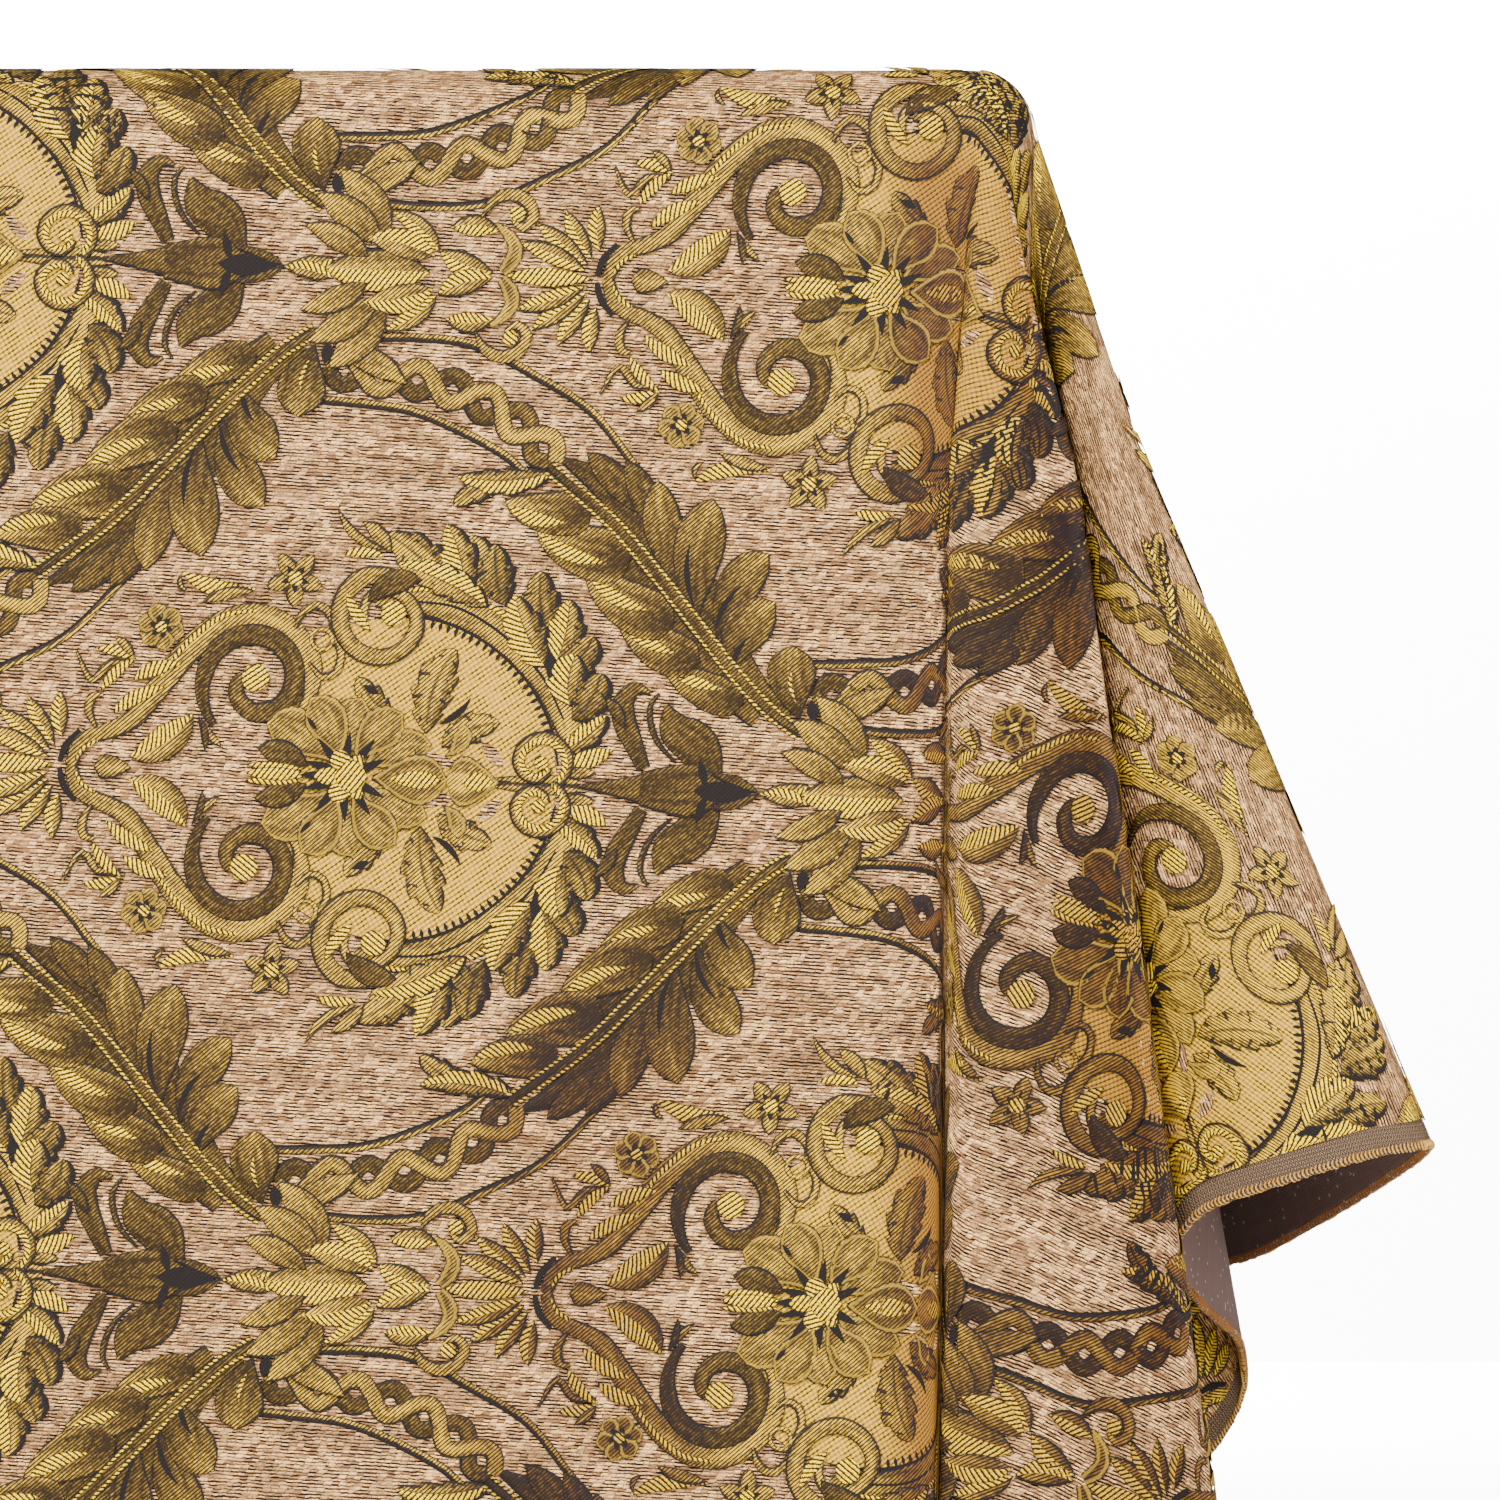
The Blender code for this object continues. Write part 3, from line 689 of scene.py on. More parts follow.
class Drape:
    """The hung cloth: its mesh, and where any point of the flat fabric lies on it."""

    def __init__(self):
        self.known = {}
        self.points = []
        self.fabric = []
        self.faces = []
        self.patches = {}
        columns = np.linspace(-CORNER_X, CORNER_X, FRONT_COLUMNS + 1)
        rows = np.linspace(FRONT_Y, BACK_Y, TOP_ROWS + 1)
        shares = np.array(DROP_SHARES)
        top = [[(x, y, edge_height(x, y)) for y in rows] for x in columns]
        self.patch("top", top, columns, (rows - FRONT_Y) / TOP_DEPTH, False)
        self.patch("front", [front_line(x) for x in columns], columns, shares, True)
        for side, table, steps in (
            (1, RIGHT_CORNER, RIGHT_FAN_STEPS),
            (-1, LEFT_CORNER, LEFT_FAN_STEPS),
        ):
            angles = fan_angles(table, steps)
            lines = [corner_line(table, side, angle) for angle in angles]
            self.patch(("corner", side), lines, angles, shares, side > 0)
        for side, table in ((1, RIGHT_DROP), (-1, LEFT_DROP)):
            lines = [side_line(table, side, y) for y in rows]
            self.patch(("drop", side), lines, rows, shares, side > 0)
        self.points = np.array(self.points)
        self.mesh = bpy.data.meshes.new("damask_sheet")
        self.mesh.from_pydata(self.points.tolist(), [], self.faces)
        self.mesh.update()
        normals = np.empty(len(self.points) * 3, np.float32)
        self.mesh.vertices.foreach_get("normal", normals)
        self.normals = normals.reshape(-1, 3).astype(float)
        corners = np.empty(len(self.mesh.loops), np.int32)
        self.mesh.loops.foreach_get("vertex_index", corners)
        uv = np.array(self.fabric)[corners]
        self.mesh.uv_layers.new(name=FABRIC_MAP).data.foreach_set("uv", uv.ravel())

    def flat(self, name, key, share):
        """The flat fabric's own coordinates at a patch's line and share of its length."""
        if name == "top":
            return key - CORNER_X, -share * TOP_DEPTH
        if name == "front":
            return key - CORNER_X, share * FRONT_OVERHANG
        kind, side = name
        if kind == "corner":
            turn = math.radians(key)
            away = share * float(reach_at(turn))
            out, down = away * math.sin(turn), away * math.cos(turn)
        else:
            out, down = share * SIDE_OVERHANG, FRONT_Y - key
        return (out if side > 0 else MIRROR_U - out), down

    def patch(self, name, lines, keys, shares, flip):
        """Adds a patch of the cloth, welded to the ones before it."""
        grid = np.empty((len(lines), len(lines[0])), int)
        for i, line in enumerate(lines):
            for j, point in enumerate(line):
                spot = tuple(round(value * 1e5) for value in point)
                if spot not in self.known:
                    self.known[spot] = len(self.points)
                    self.points.append(point)
                    self.fabric.append(self.flat(name, keys[i], shares[j]))
                grid[i, j] = self.known[spot]
        for a, b in zip(grid, grid[1:]):
            for j in range(len(a) - 1):
                face = [a[j], b[j], b[j + 1], a[j + 1]]
                face = [int(v) for i, v in enumerate(face) if v not in face[:i]]
                if len(face) > 2:
                    self.faces.append(face[::-1] if flip else face)
        self.patches[name] = (grid, np.asarray(keys), np.asarray(shares))

    def place(self, u, v, height):
        """Points this high over the cloth's face, and the normals there."""
        x = np.clip(u + CORNER_X, -CORNER_X, CORNER_X)
        found = np.empty((len(u), 3))
        normals = np.empty((len(u), 3))
        middle = (u <= 0) & (u >= MIRROR_U)
        cases = [
            ("front", middle & (v >= 0), x, v / FRONT_OVERHANG),
            ("top", middle & (v < 0), x, -v / TOP_DEPTH),
        ]
        for side, off in ((1, u), (-1, MIRROR_U - u)):
            turn = np.arctan2(np.maximum(off, 0), np.maximum(v, 1e-9))
            away = np.hypot(off, v) / reach_at(turn)
            beyond = off > 0
            cases.append((("corner", side), beyond & (v > 0), np.degrees(turn), away))
            cases.append((("drop", side), beyond & (v <= 0), FRONT_Y - v, off / SIDE_OVERHANG))
        for name, chosen, keys, shares in cases:
            if chosen.any():
                grid, lines, rows = self.patches[name]
                at = np.interp(keys[chosen], lines, np.arange(len(lines)))
                down = np.interp(shares[chosen], rows, np.arange(len(rows)))
                i = np.minimum(at.astype(int), len(lines) - 2)
                j = np.minimum(down.astype(int), len(rows) - 2)
                s, t = (at - i)[:, None], (down - j)[:, None]
                shape = 0
                for ids, part in (
                    (grid[i, j], (1 - s) * (1 - t)),
                    (grid[i + 1, j], s * (1 - t)),
                    (grid[i, j + 1], (1 - s) * t),
                    (grid[i + 1, j + 1], s * t),
                ):
                    shape = shape + part * np.hstack((self.points[ids], self.normals[ids]))
                found[chosen] = shape[:, :3]
                normals[chosen] = unit(shape[:, 3:])
        return found + normals * height[:, None], normals


def through(points, step):
    """Even steps along a smooth curve through the points, with all their columns."""
    points = np.array(points, float)
    points = np.vstack((2 * points[0] - points[1], points, 2 * points[-1] - points[-2]))
    curve = [points[1][None]]
    for a, b, c, d in zip(points, points[1:], points[2:], points[3:]):
        count = max(2, math.ceil(np.linalg.norm(c[:2] - b[:2]) / step))
        t = np.linspace(0, 1, count + 1)[1:, None]
        cubic = 2 * b + (c - a) * t + (2 * a - 5 * b + 4 * c - d) * t**2
        curve.append((cubic + (3 * b - a - 3 * c + d) * t**3) / 2)
    return np.vstack(curve)


def painted_shading(fabric):
    """How much painted shade the figure gets where it turns from the light: the right corner's
    folds and the ripple, less painted light on the side past the corner.
    """
    u, v = fabric.T
    inward = ramp(u * 1000, -SHADE_INWARD, 0) * (u <= 0)
    angle = np.degrees(np.arctan2(np.maximum(u, 0), np.maximum(v, 1e-6)))
    creases = np.abs(2 * angle / SHADE_ANGLE - 1) ** 1.5
    fan = (0.5 + 0.5 * creases) * ramp(SHADE_ANGLE + 1 - angle, 0, 2) * (u > 0) * (v > 0)
    corner = np.clip(np.maximum(inward * 1.8, fan), 0, 1) * ramp(v, *SHADE_START)
    middle, reach, first, full, strength = RIPPLE_SHADE
    ripple = np.exp(-(((u - middle) / reach) ** 4)) * ramp(v, first, full) * strength
    # Painted light on the side drop past the corner
    lit_side = ramp(angle, SHADE_ANGLE + 1, SHADE_ANGLE + 4) * ramp(u, 0, 0.02)
    return np.maximum(corner, ripple) - lit_side * SIDE_PAINTED_LIGHT


class Figure:
    """The woven figure of one repeat as flat strips, in picks from a medallion's centre."""

    def __init__(self):
        self.spots = []
        self.marks = []
        self.faces = []
        self.layers = []
        self.count = 0
        self.level = 0.0

    def group(self):
        """Lifts what is drawn next over what has been drawn."""
        self.level = math.ceil(self.level / GROUP_LIFT) * GROUP_LIFT + GROUP_LIFT

    def sheet(self, grid, marks, layer, mirrored=False, raised=0):
        """A grid of points with its marks and its layer, and its mirror image below the axis."""
        rows, columns = grid.shape[:2]
        layers = np.full((rows - 1, columns - 1), LAYERS.index(layer))
        if raised:
            half = np.arange(columns - 1) < (columns - 1) / 2
            layers[:, half if raised < 0 else ~half] = LAYERS.index("raised")
        for flip in (1, -1) if mirrored else (1,):
            self.level += LAYER_STEP
            held = [np.broadcast_to(mark, (rows, columns)) for mark in (*marks, self.level)]
            ids = self.count + np.arange(rows * columns).reshape(rows, columns)
            quads = np.stack((ids[:-1, :-1], ids[1:, :-1], ids[1:, 1:], ids[:-1, 1:]), axis=2)
            self.spots.append((grid * (1, flip)).reshape(-1, 2))
            self.marks.append(np.stack(held, axis=2).reshape(-1, len(held)))
            self.faces.append(quads.reshape(-1, 4))
            self.layers.append(layers.ravel())
            self.count += rows * columns

    def strip(self, centre, half, look, mirrored):
        """A band along a line, half its width to each side."""
        layer, root, tip, edge, _, _, raised = LOOKS[look]
        half = np.maximum(half, LEAST_HALF)
        columns = 2 * max(1, math.ceil(half.max() / PANEL))
        across = np.linspace(-1, 1, columns + 1)
        grid = centre[:, None] + square_to(centre)[:, None] * (half[:, None] * across)[..., None]
        along = np.linspace(root, tip, len(centre))[:, None]
        tone = along + (edge - along) * np.abs(across) ** TONE_FALL
        width = half[:, None] * PICK_MM
        marks = (
            tone,
            width * (1 - np.abs(across)),
            width * across,
            walked_along(centre)[:, None] * PICK_MM,
        )
        self.sheet(grid, marks, layer, mirrored, raised)

    def blade(self, look, root_x, root_y, tip_x, tip_y, bow, width, mirrored=True):
        """A leaf or petal: a bowed strip with a belly, cut into lobes if it is a wide leaf."""
        belly, fullness = LOOKS[look][4:6]
        root, tip = np.array((root_x, root_y), float), np.array((tip_x, tip_y), float)
        length = np.linalg.norm(tip - root)
        lobes = round(length / LOBE) if LOOKS[look][0] == "leaf" and width > LOBE_WIDTH else 0
        if lobes > 1:
            t = np.append((np.arange(lobes)[:, None] + LOBE_SECTIONS).ravel(), lobes) / lobes
        else:
            t = np.linspace(0, 1, max(6, math.ceil(length / SECTION)) + 1)
        normal = np.array((root_y - tip_y, tip_x - root_x)) / length
        centre = root + t[:, None] * (tip - root) + (4 * t * (1 - t) * bow)[:, None] * normal
        half = width / 2 * np.sin(math.pi * t**belly) ** fullness
        if lobes > 1:
            half *= 1 + LOBE_DEPTH / 3 - LOBE_DEPTH * (1 - (t * lobes) % 1) ** 1.5
            if look != "bloom":
                shadow = np.maximum(half, LEAST_HALF) + SHADOW_SPREAD
                self.strip(centre + LEAF_SHADOW, shadow, "dark", mirrored)
        self.strip(centre, half, look, mirrored)

    def blades(self, groups, mirrored=True, swell=1.0):
        for look, *rows in groups:
            for *ends, width in rows:
                self.blade(look, *ends, width * swell, mirrored)

    def ribbon(self, look, points, mirrored=True):
        curve = through(points, SECTION)
        self.strip(curve[:, :2], curve[:, 2] / 2, look, mirrored)

    def ribbons(self, rows, mirrored=True):
        for look, *points in rows:
            self.ribbon(look, points, mirrored)

    def spiral(self, look, x, y, turns):
        table = np.array(turns, float)
        marks = np.arange(len(table))
        fine = np.linspace(0, marks[-1], SPIRAL_STEPS * marks[-1] + 1)
        angle, radius, width = (np.interp(fine, marks, column) for column in table.T)
        turn = np.radians(angle)
        centre = np.stack((x + radius * np.cos(turn), y + radius * np.sin(turn)), axis=1)
        self.strip(centre, width / 2, look, True)

    def disc(self, x, y, radius, layer, hole=0.0):
        turn = np.linspace(0, 2 * math.pi, DISC_POINTS)
        reach = np.linspace(hole, radius, 3)
        spots = (x + np.outer(np.cos(turn), reach), y + np.outer(np.sin(turn), reach))
        inset = np.minimum(radius - reach, reach - hole if hole else radius) * PICK_MM
        marks = (DISC_TONE, inset, spots[0] * PICK_MM, spots[1] * PICK_MM)
        self.sheet(np.stack(spots, axis=2), marks, layer, True)

    def flower(self, x, y, radius, petals, pointed):
        look, share = ("satin", POINTED_PETAL) if pointed else ("petal", ROUND_PETAL)
        width = radius * share
        for number in range(petals):
            turn = 2 * math.pi * (number + 0.25) / petals
            tip = (x + radius * math.cos(turn), y + radius * math.sin(turn))
            half_way = (x + tip[0]) / 2, (y + tip[1]) / 2
            self.blade(look, x, y, *tip, 0, width)
            self.blade("dark", x, y, *half_way, 0, width * PETAL_VEIN)
        self.disc(x, y, radius * FLOWER_EYE, "raised")

    def field(self):
        """The pale round field behind the flower, cut off at its left."""
        x = np.linspace(FIELD_LEFT, FIELD_CENTRE + FIELD_RADIUS, FIELD_GRID[0])
        half = np.sqrt(np.maximum(FIELD_RADIUS**2 - (x - FIELD_CENTRE) ** 2, 1.0))[:, None]
        across = np.linspace(-1, 1, FIELD_GRID[1])
        grid = np.stack((x[:, None] + 0 * across, half * across), axis=2)
        self.sheet(grid, (0.5, half * (1 - np.abs(across)) * PICK_MM, 0.0, 0.0), "field")


def draw_chain(figure):
    """The twisted two-strand border that leaves the upper node of a medallion."""
    for edge in CHAIN_EDGES:
        for look, off, width in CHAIN_EDGE_LINES:
            line = [(x + UPPER_NODE[0], y + off + UPPER_NODE[1], width) for x, y in edge]
            figure.ribbon(look, line)
    middle = through(np.array(CHAIN_PATH) + UPPER_NODE, CHAIN_SECTION)
    steps = walked_along(middle)
    swing = CHAIN_SWING * np.sin(math.pi * CHAIN_EYES * steps / steps[-1])
    for sign, look in ((1, "bronze"), (-1, "satin")):
        line = middle + sign * swing[:, None] * square_to(middle)
        figure.strip(line, np.full(len(line), CHAIN_STRAND / 2), look, True)


def draw_stem(figure):
    """The branch's stem, with a bright line inside each edge."""
    look, *points = STEM
    figure.ribbon(look, points)
    path = np.array(points, float)[:, :2]
    for side in (-1, 1):
        line = path + side * STEM_LINE_OFF * square_to(path)
        figure.ribbon("raised", [(*spot, STEM_LINE_WIDTH) for spot in line])


def draw_wreath_ticks(figure):
    """Short dark ticks just inside the field's rim."""
    first, last = (math.radians(angle) for angle in WREATH_ARC)
    for number in range(WREATH_TICKS):
        turn = first + (last - first) * number / (WREATH_TICKS - 1)
        way = np.array((math.cos(turn), math.sin(turn)))
        root = np.array((FIELD_CENTRE, 0)) + way * FIELD_RADIUS
        figure.blade("dark", *root, *(root - TICK_LENGTH * way), 0, TICK_WIDTH)


def draw_repeat():
    """One repeat of the figure: a medallion, the cluster at its right, and two borders."""
    figure = Figure()
    figure.field()
    figure.group()
    draw_chain(figure)
    figure.ribbons(STEM_RIBBONS)
    draw_wreath_ticks(figure)
    figure.ribbons(AXIS_RIBBONS)
    figure.ribbons(WREATH_RIBBONS)
    figure.group()
    figure.blades(FIELD_BLADES)
    figure.blades(WREATH_BLADES, swell=WREATH_SWELL)
    figure.blades(BRANCH_BLADES)
    draw_stem(figure)
    figure.blades(FAN_BLADES)
    figure.ribbons(ANCHOR_RIBBONS, False)
    figure.group()
    figure.ribbons(SCROLL_RIBBONS)
    for spiral in SPIRALS:
        figure.spiral(*spiral)
    figure.disc(*RING[:3], "satin", hole=RING[3])
    figure.blades(ANCHOR_BLADES)
    figure.blades(ANCHOR_MIDDLE, False)
    figure.blades(FAN_MIDDLE, False)
    figure.group()
    figure.blades(SCROLL_BLADES)
    figure.blades(FLOWER_BLADES)
    figure.blades(FLOWER_MIDDLE, False)
    figure.blades(CLUSTER_MIDDLE, False, CLUSTER_SWELL)
    figure.blades(CLUSTER_BLADES)
    for eye in EYES:
        figure.disc(*eye, "raised")
    for flower in SMALL_FLOWERS:
        figure.flower(*flower)
    parts = (figure.spots, figure.marks, figure.faces, figure.layers)
    return [np.concatenate(part) for part in parts]


def lattice():
    """The medallion centres on and around the cloth, in picks of the flat fabric."""
    steps = [(a, d, half) for a in range(-3, 4) for d in range(-3, 3) for half in (0, 1)]
    ways = np.array((ACROSS_REPEAT, DOWN_REPEAT, HALF_DROP), float)
    return FIRST_CENTRE + np.array(steps) @ ways


def add_object(name, data):
    made = bpy.data.objects.new(name, data)
    bpy.context.scene.collection.objects.link(made)
    return made


def mesh_piece(name, points, faces, fabric, marks, layers, materials):
    """A mesh object from arrays, with its flat fabric coordinates and its marks."""
    mesh = bpy.data.meshes.new(name)
    mesh.vertices.add(len(points))
    mesh.vertices.foreach_set("co", points.astype(np.float32).ravel())
    mesh.loops.add(faces.size)
    mesh.loops.foreach_set("vertex_index", faces.astype(np.int32).ravel())
    mesh.polygons.add(len(faces))
    starts = np.arange(0, faces.size, faces.shape[1], dtype=np.int32)
    mesh.polygons.foreach_set("loop_start", starts)
    mesh.polygons.foreach_set("material_index", layers.astype(np.int32))
    mesh.update(calc_edges=True)
    uv = fabric[faces.ravel()].astype(np.float32)
    mesh.uv_layers.new(name=FABRIC_MAP).data.foreach_set("uv", uv.ravel())
    for title, values in marks.items():
        attribute = mesh.attributes.new(title, "FLOAT", "POINT")
        attribute.data.foreach_set("value", values.astype(np.float32))
    mesh.validate()
    mesh.shade_smooth()
    for material in materials:
        mesh.materials.append(material)
    return add_object(name, mesh)


def weave_figures(drape, lift, materials):
    """All repeats of the figure on the cloth, in pieces by where they lie."""
    spots, marks, faces, layers = draw_repeat()
    low = np.array((MIRROR_U - SIDE_OVERHANG + SELVEDGE_BAND, HEM_MARGIN - TOP_DEPTH))
    high = np.array((SIDE_OVERHANG - SELVEDGE_BAND, FRONT_OVERHANG - HEM_MARGIN))
    turned = spots @ np.array((ALONG_X, ALONG_Y))
    parts = {name: [] for name, _ in FIGURE_PIECES}
    for centre in lattice():
        fabric = (turned + centre) * PICK
        clamped = np.clip(fabric, low, high)
        inside = (np.abs(clamped - fabric) < 1e-12).all(axis=1)
        kept = inside[faces].any(axis=1)
        if kept.any():
            quads = faces[kept]
            a, b, c, d = (clamped[quads[:, i]] for i in range(4))
            area = np.cross(c - a, d - b)
            quads = np.where((area > 0)[:, None], quads[:, ::-1], quads)
            fit = np.abs(area) > 1e-9
            used, index = np.unique(quads[fit], return_inverse=True)
            spots_used = clamped[used]
            name = next(name for name, test in FIGURE_PIECES if test(*spots_used.mean(axis=0)))
            parts[name].append((spots_used, marks[used], index.reshape(-1, 4), layers[kept][fit]))
    made = []
    for name, chunks in parts.items():
        fabric, notes, quads, kinds = zip(*chunks)
        starts = np.cumsum([0] + [len(chunk) for chunk in fabric])
        quads = np.vstack([chunk + start for chunk, start in zip(quads, starts)])
        fabric, notes = np.vstack(fabric), np.vstack(notes)
        height = SHEET_THICKNESS / 2 + lift + notes[:, -1]
        points, _ = drape.place(*fabric.T, height)
        values = {title: notes[:, number] for number, title in enumerate(MARKS)}
        # Painted shade and painted light, carried as a mark at each point
        values["dull"] = painted_shading(fabric)
        kinds = np.concatenate(kinds)
        made.append(mesh_piece(name, points, quads, fabric, values, kinds, materials))
    return made


class Graph:
    """The node tree of one material."""

    def __init__(self, name):
        self.material = bpy.data.materials.new(name)
        self.material.use_nodes = True
        self.tree = self.material.node_tree
        self.shader = self.tree.nodes["Principled BSDF"]

    def add(self, kind, settings, sockets, output=0):
        """A node of this kind: its settings first, then the values or links of its sockets."""
        node = self.tree.nodes.new(kind)
        for name, value in settings.items():
            setattr(node, name, value)
        for name, value in sockets.items():
            self.feed(node.inputs[name], value)
        return Value(self, node.outputs[output])

    def feed(self, socket, value):
        if isinstance(value, Value):
            self.tree.links.new(value.socket, socket)
        elif hasattr(socket.default_value, "__len__") and len(socket.default_value) == 4:
            socket.default_value = (*value, 1.0) if len(value) == 3 else value
        else:
            socket.default_value = value

    def blend(self, share, low, high):
        """One colour turned into another by a share from 0 to 1."""
        settings = {"data_type": "RGBA", "clamp_factor": True}
        return self.add("ShaderNodeMix", settings, {0: share, 6: low, 7: high}, 2)

    def mark(self, name):
        """A value that the mesh carries at its vertices."""
        return self.add("ShaderNodeAttribute", {"attribute_name": name}, {}, "Fac")

    def join(self, x, y, z=0.0):
        return self.add("ShaderNodeCombineXYZ", {}, {0: x, 1: y, 2: z})

    def noise(self, place, detail=2.0, roughness=0.5, scale=1.0):
        """Soft unevenness from 0 to 1, at a vector or at coordinates given as a tuple."""
        vector = self.join(*place) if isinstance(place, tuple) else place
        sockets = {"Vector": vector, "Scale": scale, "Detail": detail, "Roughness": roughness}
        return self.add("ShaderNodeTexNoise", {}, sockets, "Fac")

    def chance(self, x, y=0.0):
        """A number from 0 to 1 that belongs to this pair of whole numbers."""
        sockets = {"Vector": self.join(x, y)}
        return self.add("ShaderNodeTexWhiteNoise", {"noise_dimensions": "2D"}, sockets, "Value")

    def block(self, x, y, width, height):
        """A number from 0 to 1 for each block of threads of this size."""
        return self.chance((x / width).floor(), (y / height).floor())

    def fabric(self):
        """The flat fabric's own u and v, in mm."""
        flat = self.add("ShaderNodeUVMap", {"uv_map": FABRIC_MAP}, {})
        u = self.add("ShaderNodeSeparateXYZ", {}, {0: flat})
        v = Value(self, u.socket.node.outputs[1])
        return u * 1000, v * 1000

    def threads(self):
        """Millimetres along the weft, to the right, and along the warp, down the cloth."""
        u, v = self.fabric()
        return u * ALONG_X[0] + v * ALONG_X[1], u * ALONG_Y[0] + v * ALONG_Y[1]

    def bump(self, height, distance):
        """Relief, in metres at full height, on the shader's normal."""
        sockets = {"Height": height, "Distance": distance, "Strength": 1.0}
        self.feed(self.shader.inputs["Normal"], self.add("ShaderNodeBump", {}, sockets))

    def finish(self, **values):
        """Sets the shader's own sockets, by their names with spaces as underscores."""
        for name, value in values.items():
            self.feed(self.shader.inputs[name.replace("_", " ")], value)
        return self.material


def math_node(operation, swapped=False):
    """A method that adds a Math node of this operation to its value's graph."""

    def method(self, *others):
        sockets = (*others, self) if swapped else (self, *others)
        return self.graph.add("ShaderNodeMath", {"operation": operation}, dict(enumerate(sockets)))

    return method


class Value:
    """A socket's value. Operators on it add the Math nodes that work it out."""

    def __init__(self, graph, socket):
        self.graph = graph
        self.socket = socket

    __add__ = math_node("ADD")
    __radd__ = math_node("ADD", True)
    __sub__ = math_node("SUBTRACT")
    __rsub__ = math_node("SUBTRACT", True)
    __mul__ = math_node("MULTIPLY")
    __rmul__ = math_node("MULTIPLY", True)
    __truediv__ = math_node("DIVIDE")
    __rtruediv__ = math_node("DIVIDE", True)
    __abs__ = math_node("ABSOLUTE")
    __gt__ = math_node("GREATER_THAN")
    __lt__ = math_node("LESS_THAN")
    floor = math_node("FLOOR")
    fraction = math_node("FRACT")
    most = math_node("MAXIMUM")
    least = math_node("MINIMUM")

    def ease(self, low, high):
        """Zero below low, one above high, and smooth between them."""
        settings = {"interpolation_type": "SMOOTHSTEP"}
        sockets = {"Value": self, "From Min": low, "From Max": high}
        return self.graph.add("ShaderNodeMapRange", settings, sockets)

    def ridge(self):
        """One in the middle of each whole step and zero at its ends."""
        away = self.fraction() * 2 - 1
        return 1 - away * away


def chenille_material(colours):
    """The ground: short plush chenille stitches in rows, with rose-brown streaks, and painted
    shade along the right corner's crease.
    """
    graph = Graph("chenille_ground")
    x, y = graph.threads()
    drift = graph.noise((x * 0.35, y * 0.35), 1.0) - 0.5
    course = y / CHENILLE_ROW + drift * 0.7
    row = course.floor()
    slant = course * 0.3 + graph.chance(row) * 7 + graph.noise((x * 0.4, row * 3.1), 1.0)
    stitch = x / CHENILLE_STITCH + slant
    cell = stitch.floor()
    tint = graph.chance(cell, row)
    speck = graph.noise((x * 1.1, y * 1.5), 2.0, 0.6)
    streak = graph.noise((x * 0.07, y * 0.45), 3.0, 0.65)
    cloud = graph.noise((x * 0.035, y * 0.11, 7.0), 3.0, 0.6)
    rose = (streak * 0.8 + cloud * 0.9 + (tint - 0.5) * 0.25).ease(0.82, 1.08)
    loft = course.ridge() * (1 - (1 - stitch.ridge()).ease(0.55, 1.0) * (0.25 + tint * 0.6))
    bright = (tint * 0.7 + streak * 1.9 + speck * 1.5 - 1.6).ease(0.0, 0.75)
    pile = graph.blend(bright, colours.chenille_streak, colours.chenille_light)
    pile = graph.blend(rose * 0.75, pile, colours.chenille_rose)
    dash = graph.chance(cell + 31, row).ease(0.25, 0.5) * stitch.ridge().ease(0.02, 0.3)
    seam = (1 - course.ridge()).ease(0.12, 0.34) * (0.2 + dash * (0.8 + rose * 0.3))
    joint = (1 - stitch.ridge()).ease(0.74, 0.90) * (0.2 + tint * 0.7)
    gap = (seam + joint * 0.8 + (speck - 0.54).ease(0.0, 0.1) * 0.5).least(1.0)
    colour = graph.blend(gap, pile, colours.chenille_gap)
    # Painted shade along the right corner's crease
    colour = graph.blend(crease_shade_mask(graph), colour, colours.dull_shade)
    colour = graph.blend(selvedge_mask(graph), colour, selvedge_look(graph, x, y, colours))
    graph.bump(loft + speck * 0.5, CHENILLE_RELIEF)
    return graph.finish(
        Base_Color=colour,
        Roughness=0.9,
        Sheen_Weight=0.04,
        Sheen_Roughness=0.45,
        Sheen_Tint=tuple(colours.chenille_light),
        Specular_IOR_Level=0.06,
    )


def crease_shade_mask(graph):
    """Painted shade on the ground: a soft dark line where the right corner's fold turns under."""
    u, v = graph.fabric()
    ragged = graph.noise((u * 0.3, v * 0.12), 3.0) * 3
    return (2.4 + ragged - abs(u)).ease(0.0, 2.5) * v.ease(40.0, 90.0) * 0.75


def selvedge_mask(graph):
    """One along both woven edges of the cloth, where no figure is woven."""
    u, _ = graph.fabric()
    half_width = FLAT_WIDTH / 2 - SELVEDGE_BAND
    return abs(u - MIRROR_U / 2 * 1000) > half_width * 1000


def selvedge_look(graph, x, y, colours):
    """The plain basket weave of the selvedge band."""
    span = 3 * SELVEDGE_CELL
    zigzag = abs((y / span).fraction() - 0.5) * span
    over = ((zigzag + x * 0.6) / SELVEDGE_CELL).fraction() > 0.5
    shade = (x / SELVEDGE_CELL).ridge() * (y / SELVEDGE_CELL).ridge()
    light = graph.blend(over, colours.selvedge_dark, colours.selvedge_light)
    return graph.blend((1 - shade) * 0.5, light, colours.slate)


def reverse_material(colours):
    """The cloth's back: a plain plum-brown weave with pinholes of light thread."""
    graph = Graph("chenille_reverse")
    x, y = graph.threads()
    wide, high = REVERSE_CELL
    weave = (x / wide).ridge() * (y / high).ridge()
    cloud = graph.noise((x * 0.03, y * 0.2), 3.0)
    colour = graph.blend(weave * 0.6 + cloud * 0.3, colours.reverse_dark, colours.reverse_light)
    pinhole = (graph.block(x, y, wide, high) > 0.985) * 0.8
    colour = graph.blend(pinhole, colour, colours.thread_white)
    graph.bump(weave, FLAT_RELIEF)
    return graph.finish(Base_Color=colour, Roughness=0.88, Specular_IOR_Level=0.08)


